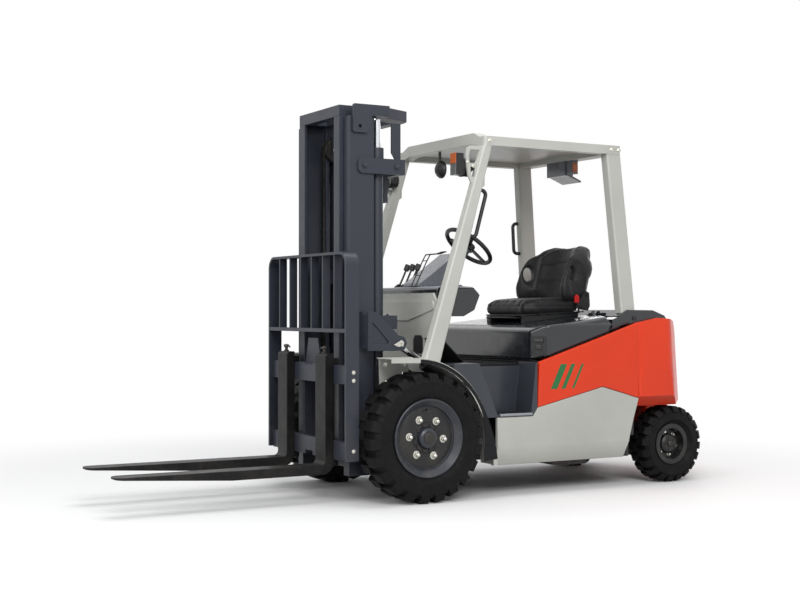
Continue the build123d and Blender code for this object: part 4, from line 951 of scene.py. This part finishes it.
def looks_past(tree):
    """1 for camera, glossy and transmission rays, 0 for the rays that light the object."""
    light_path = tree.nodes.new("ShaderNodeLightPath")
    seen = light_path.outputs["Is Camera Ray"]
    for key in ("Is Glossy Ray", "Is Transmission Ray"):
        joined = tree.nodes.new("ShaderNodeMath")
        joined.operation = "MAXIMUM"
        tree.links.new(seen, joined.inputs[0])
        tree.links.new(light_path.outputs[key], joined.inputs[1])
        seen = joined.outputs[0]
    return seen


world = bpy.data.worlds.new("studio")
bpy.context.scene.world = world
world.use_nodes = True
sky = world.node_tree
sky.nodes.clear()
shown = sky.nodes.new("ShaderNodeBackground")
shown.inputs["Color"].default_value = (1, 1, 1, 1)
ambient = sky.nodes.new("ShaderNodeBackground")
ambient.inputs["Color"].default_value = (0.97, 0.985, 1, 1)
ambient.inputs["Strength"].default_value = AMBIENT
pick = sky.nodes.new("ShaderNodeMixShader")
output = sky.nodes.new("ShaderNodeOutputWorld")
sky.links.new(looks_past(sky), pick.inputs[0])
sky.links.new(ambient.outputs[0], pick.inputs[1])
sky.links.new(shown.outputs[0], pick.inputs[2])
sky.links.new(pick.outputs[0], output.inputs["Surface"])

floor_mesh = bpy.data.meshes.new("floor")
floor_bm = bmesh.new()
bmesh.ops.create_circle(floor_bm, cap_ends=True, radius=40, segments=96)
floor_bm.to_mesh(floor_mesh)
floor_bm.free()
floor = bpy.data.objects.new("floor", floor_mesh)
bpy.context.scene.collection.objects.link(floor)
floor.location.z = -0.0005
floor_look = Nodes("studio_floor")
floor_look.bsdf.inputs["Base Color"].default_value = FLOOR_PALE
floor_look.set(rough=0.75, spec=0.2)
floor_look.bump(floor_look.noise(30), 0.02, 0.001)
white = floor_look.add("ShaderNodeEmission")
white.inputs["Color"].default_value = (1, 1, 1, 1)
reach = floor_look.add("ShaderNodeVectorMath", operation="LENGTH")
floor_look.link(floor_look.coords, reach.inputs[0])
fade = floor_look.add("ShaderNodeMapRange", interpolation_type="SMOOTHSTEP")
for key, value in zip(("From Min", "From Max", "To Min", "To Max"), (FADE_FROM, FADE_TO, 0.0, 1.0)):
    fade.inputs[key].default_value = value
floor_look.link(reach.outputs["Value"], fade.inputs["Value"])
far = floor_look.math("MULTIPLY", fade.outputs[0], looks_past(floor_look.tree))
bounce = floor_look.add("ShaderNodeBsdfDiffuse")
bounce.inputs["Color"].default_value = FLOOR_BOUNCE
near_mix = floor_look.add("ShaderNodeMixShader")
floor_look.link(looks_past(floor_look.tree), near_mix.inputs[0])
floor_look.link(bounce.outputs[0], near_mix.inputs[1])
floor_look.link(floor_look.bsdf.outputs[0], near_mix.inputs[2])
floor_mix = floor_look.add("ShaderNodeMixShader")
floor_look.link(far, floor_mix.inputs[0])
floor_look.link(near_mix.outputs[0], floor_mix.inputs[1])
floor_look.link(white.outputs[0], floor_mix.inputs[2])
floor_look.link(floor_mix.outputs[0], floor_look.tree.nodes["Material Output"].inputs["Surface"])
floor_mesh.materials.append(floor_look.mat)

bpy.context.scene.view_settings.view_transform = "Standard"
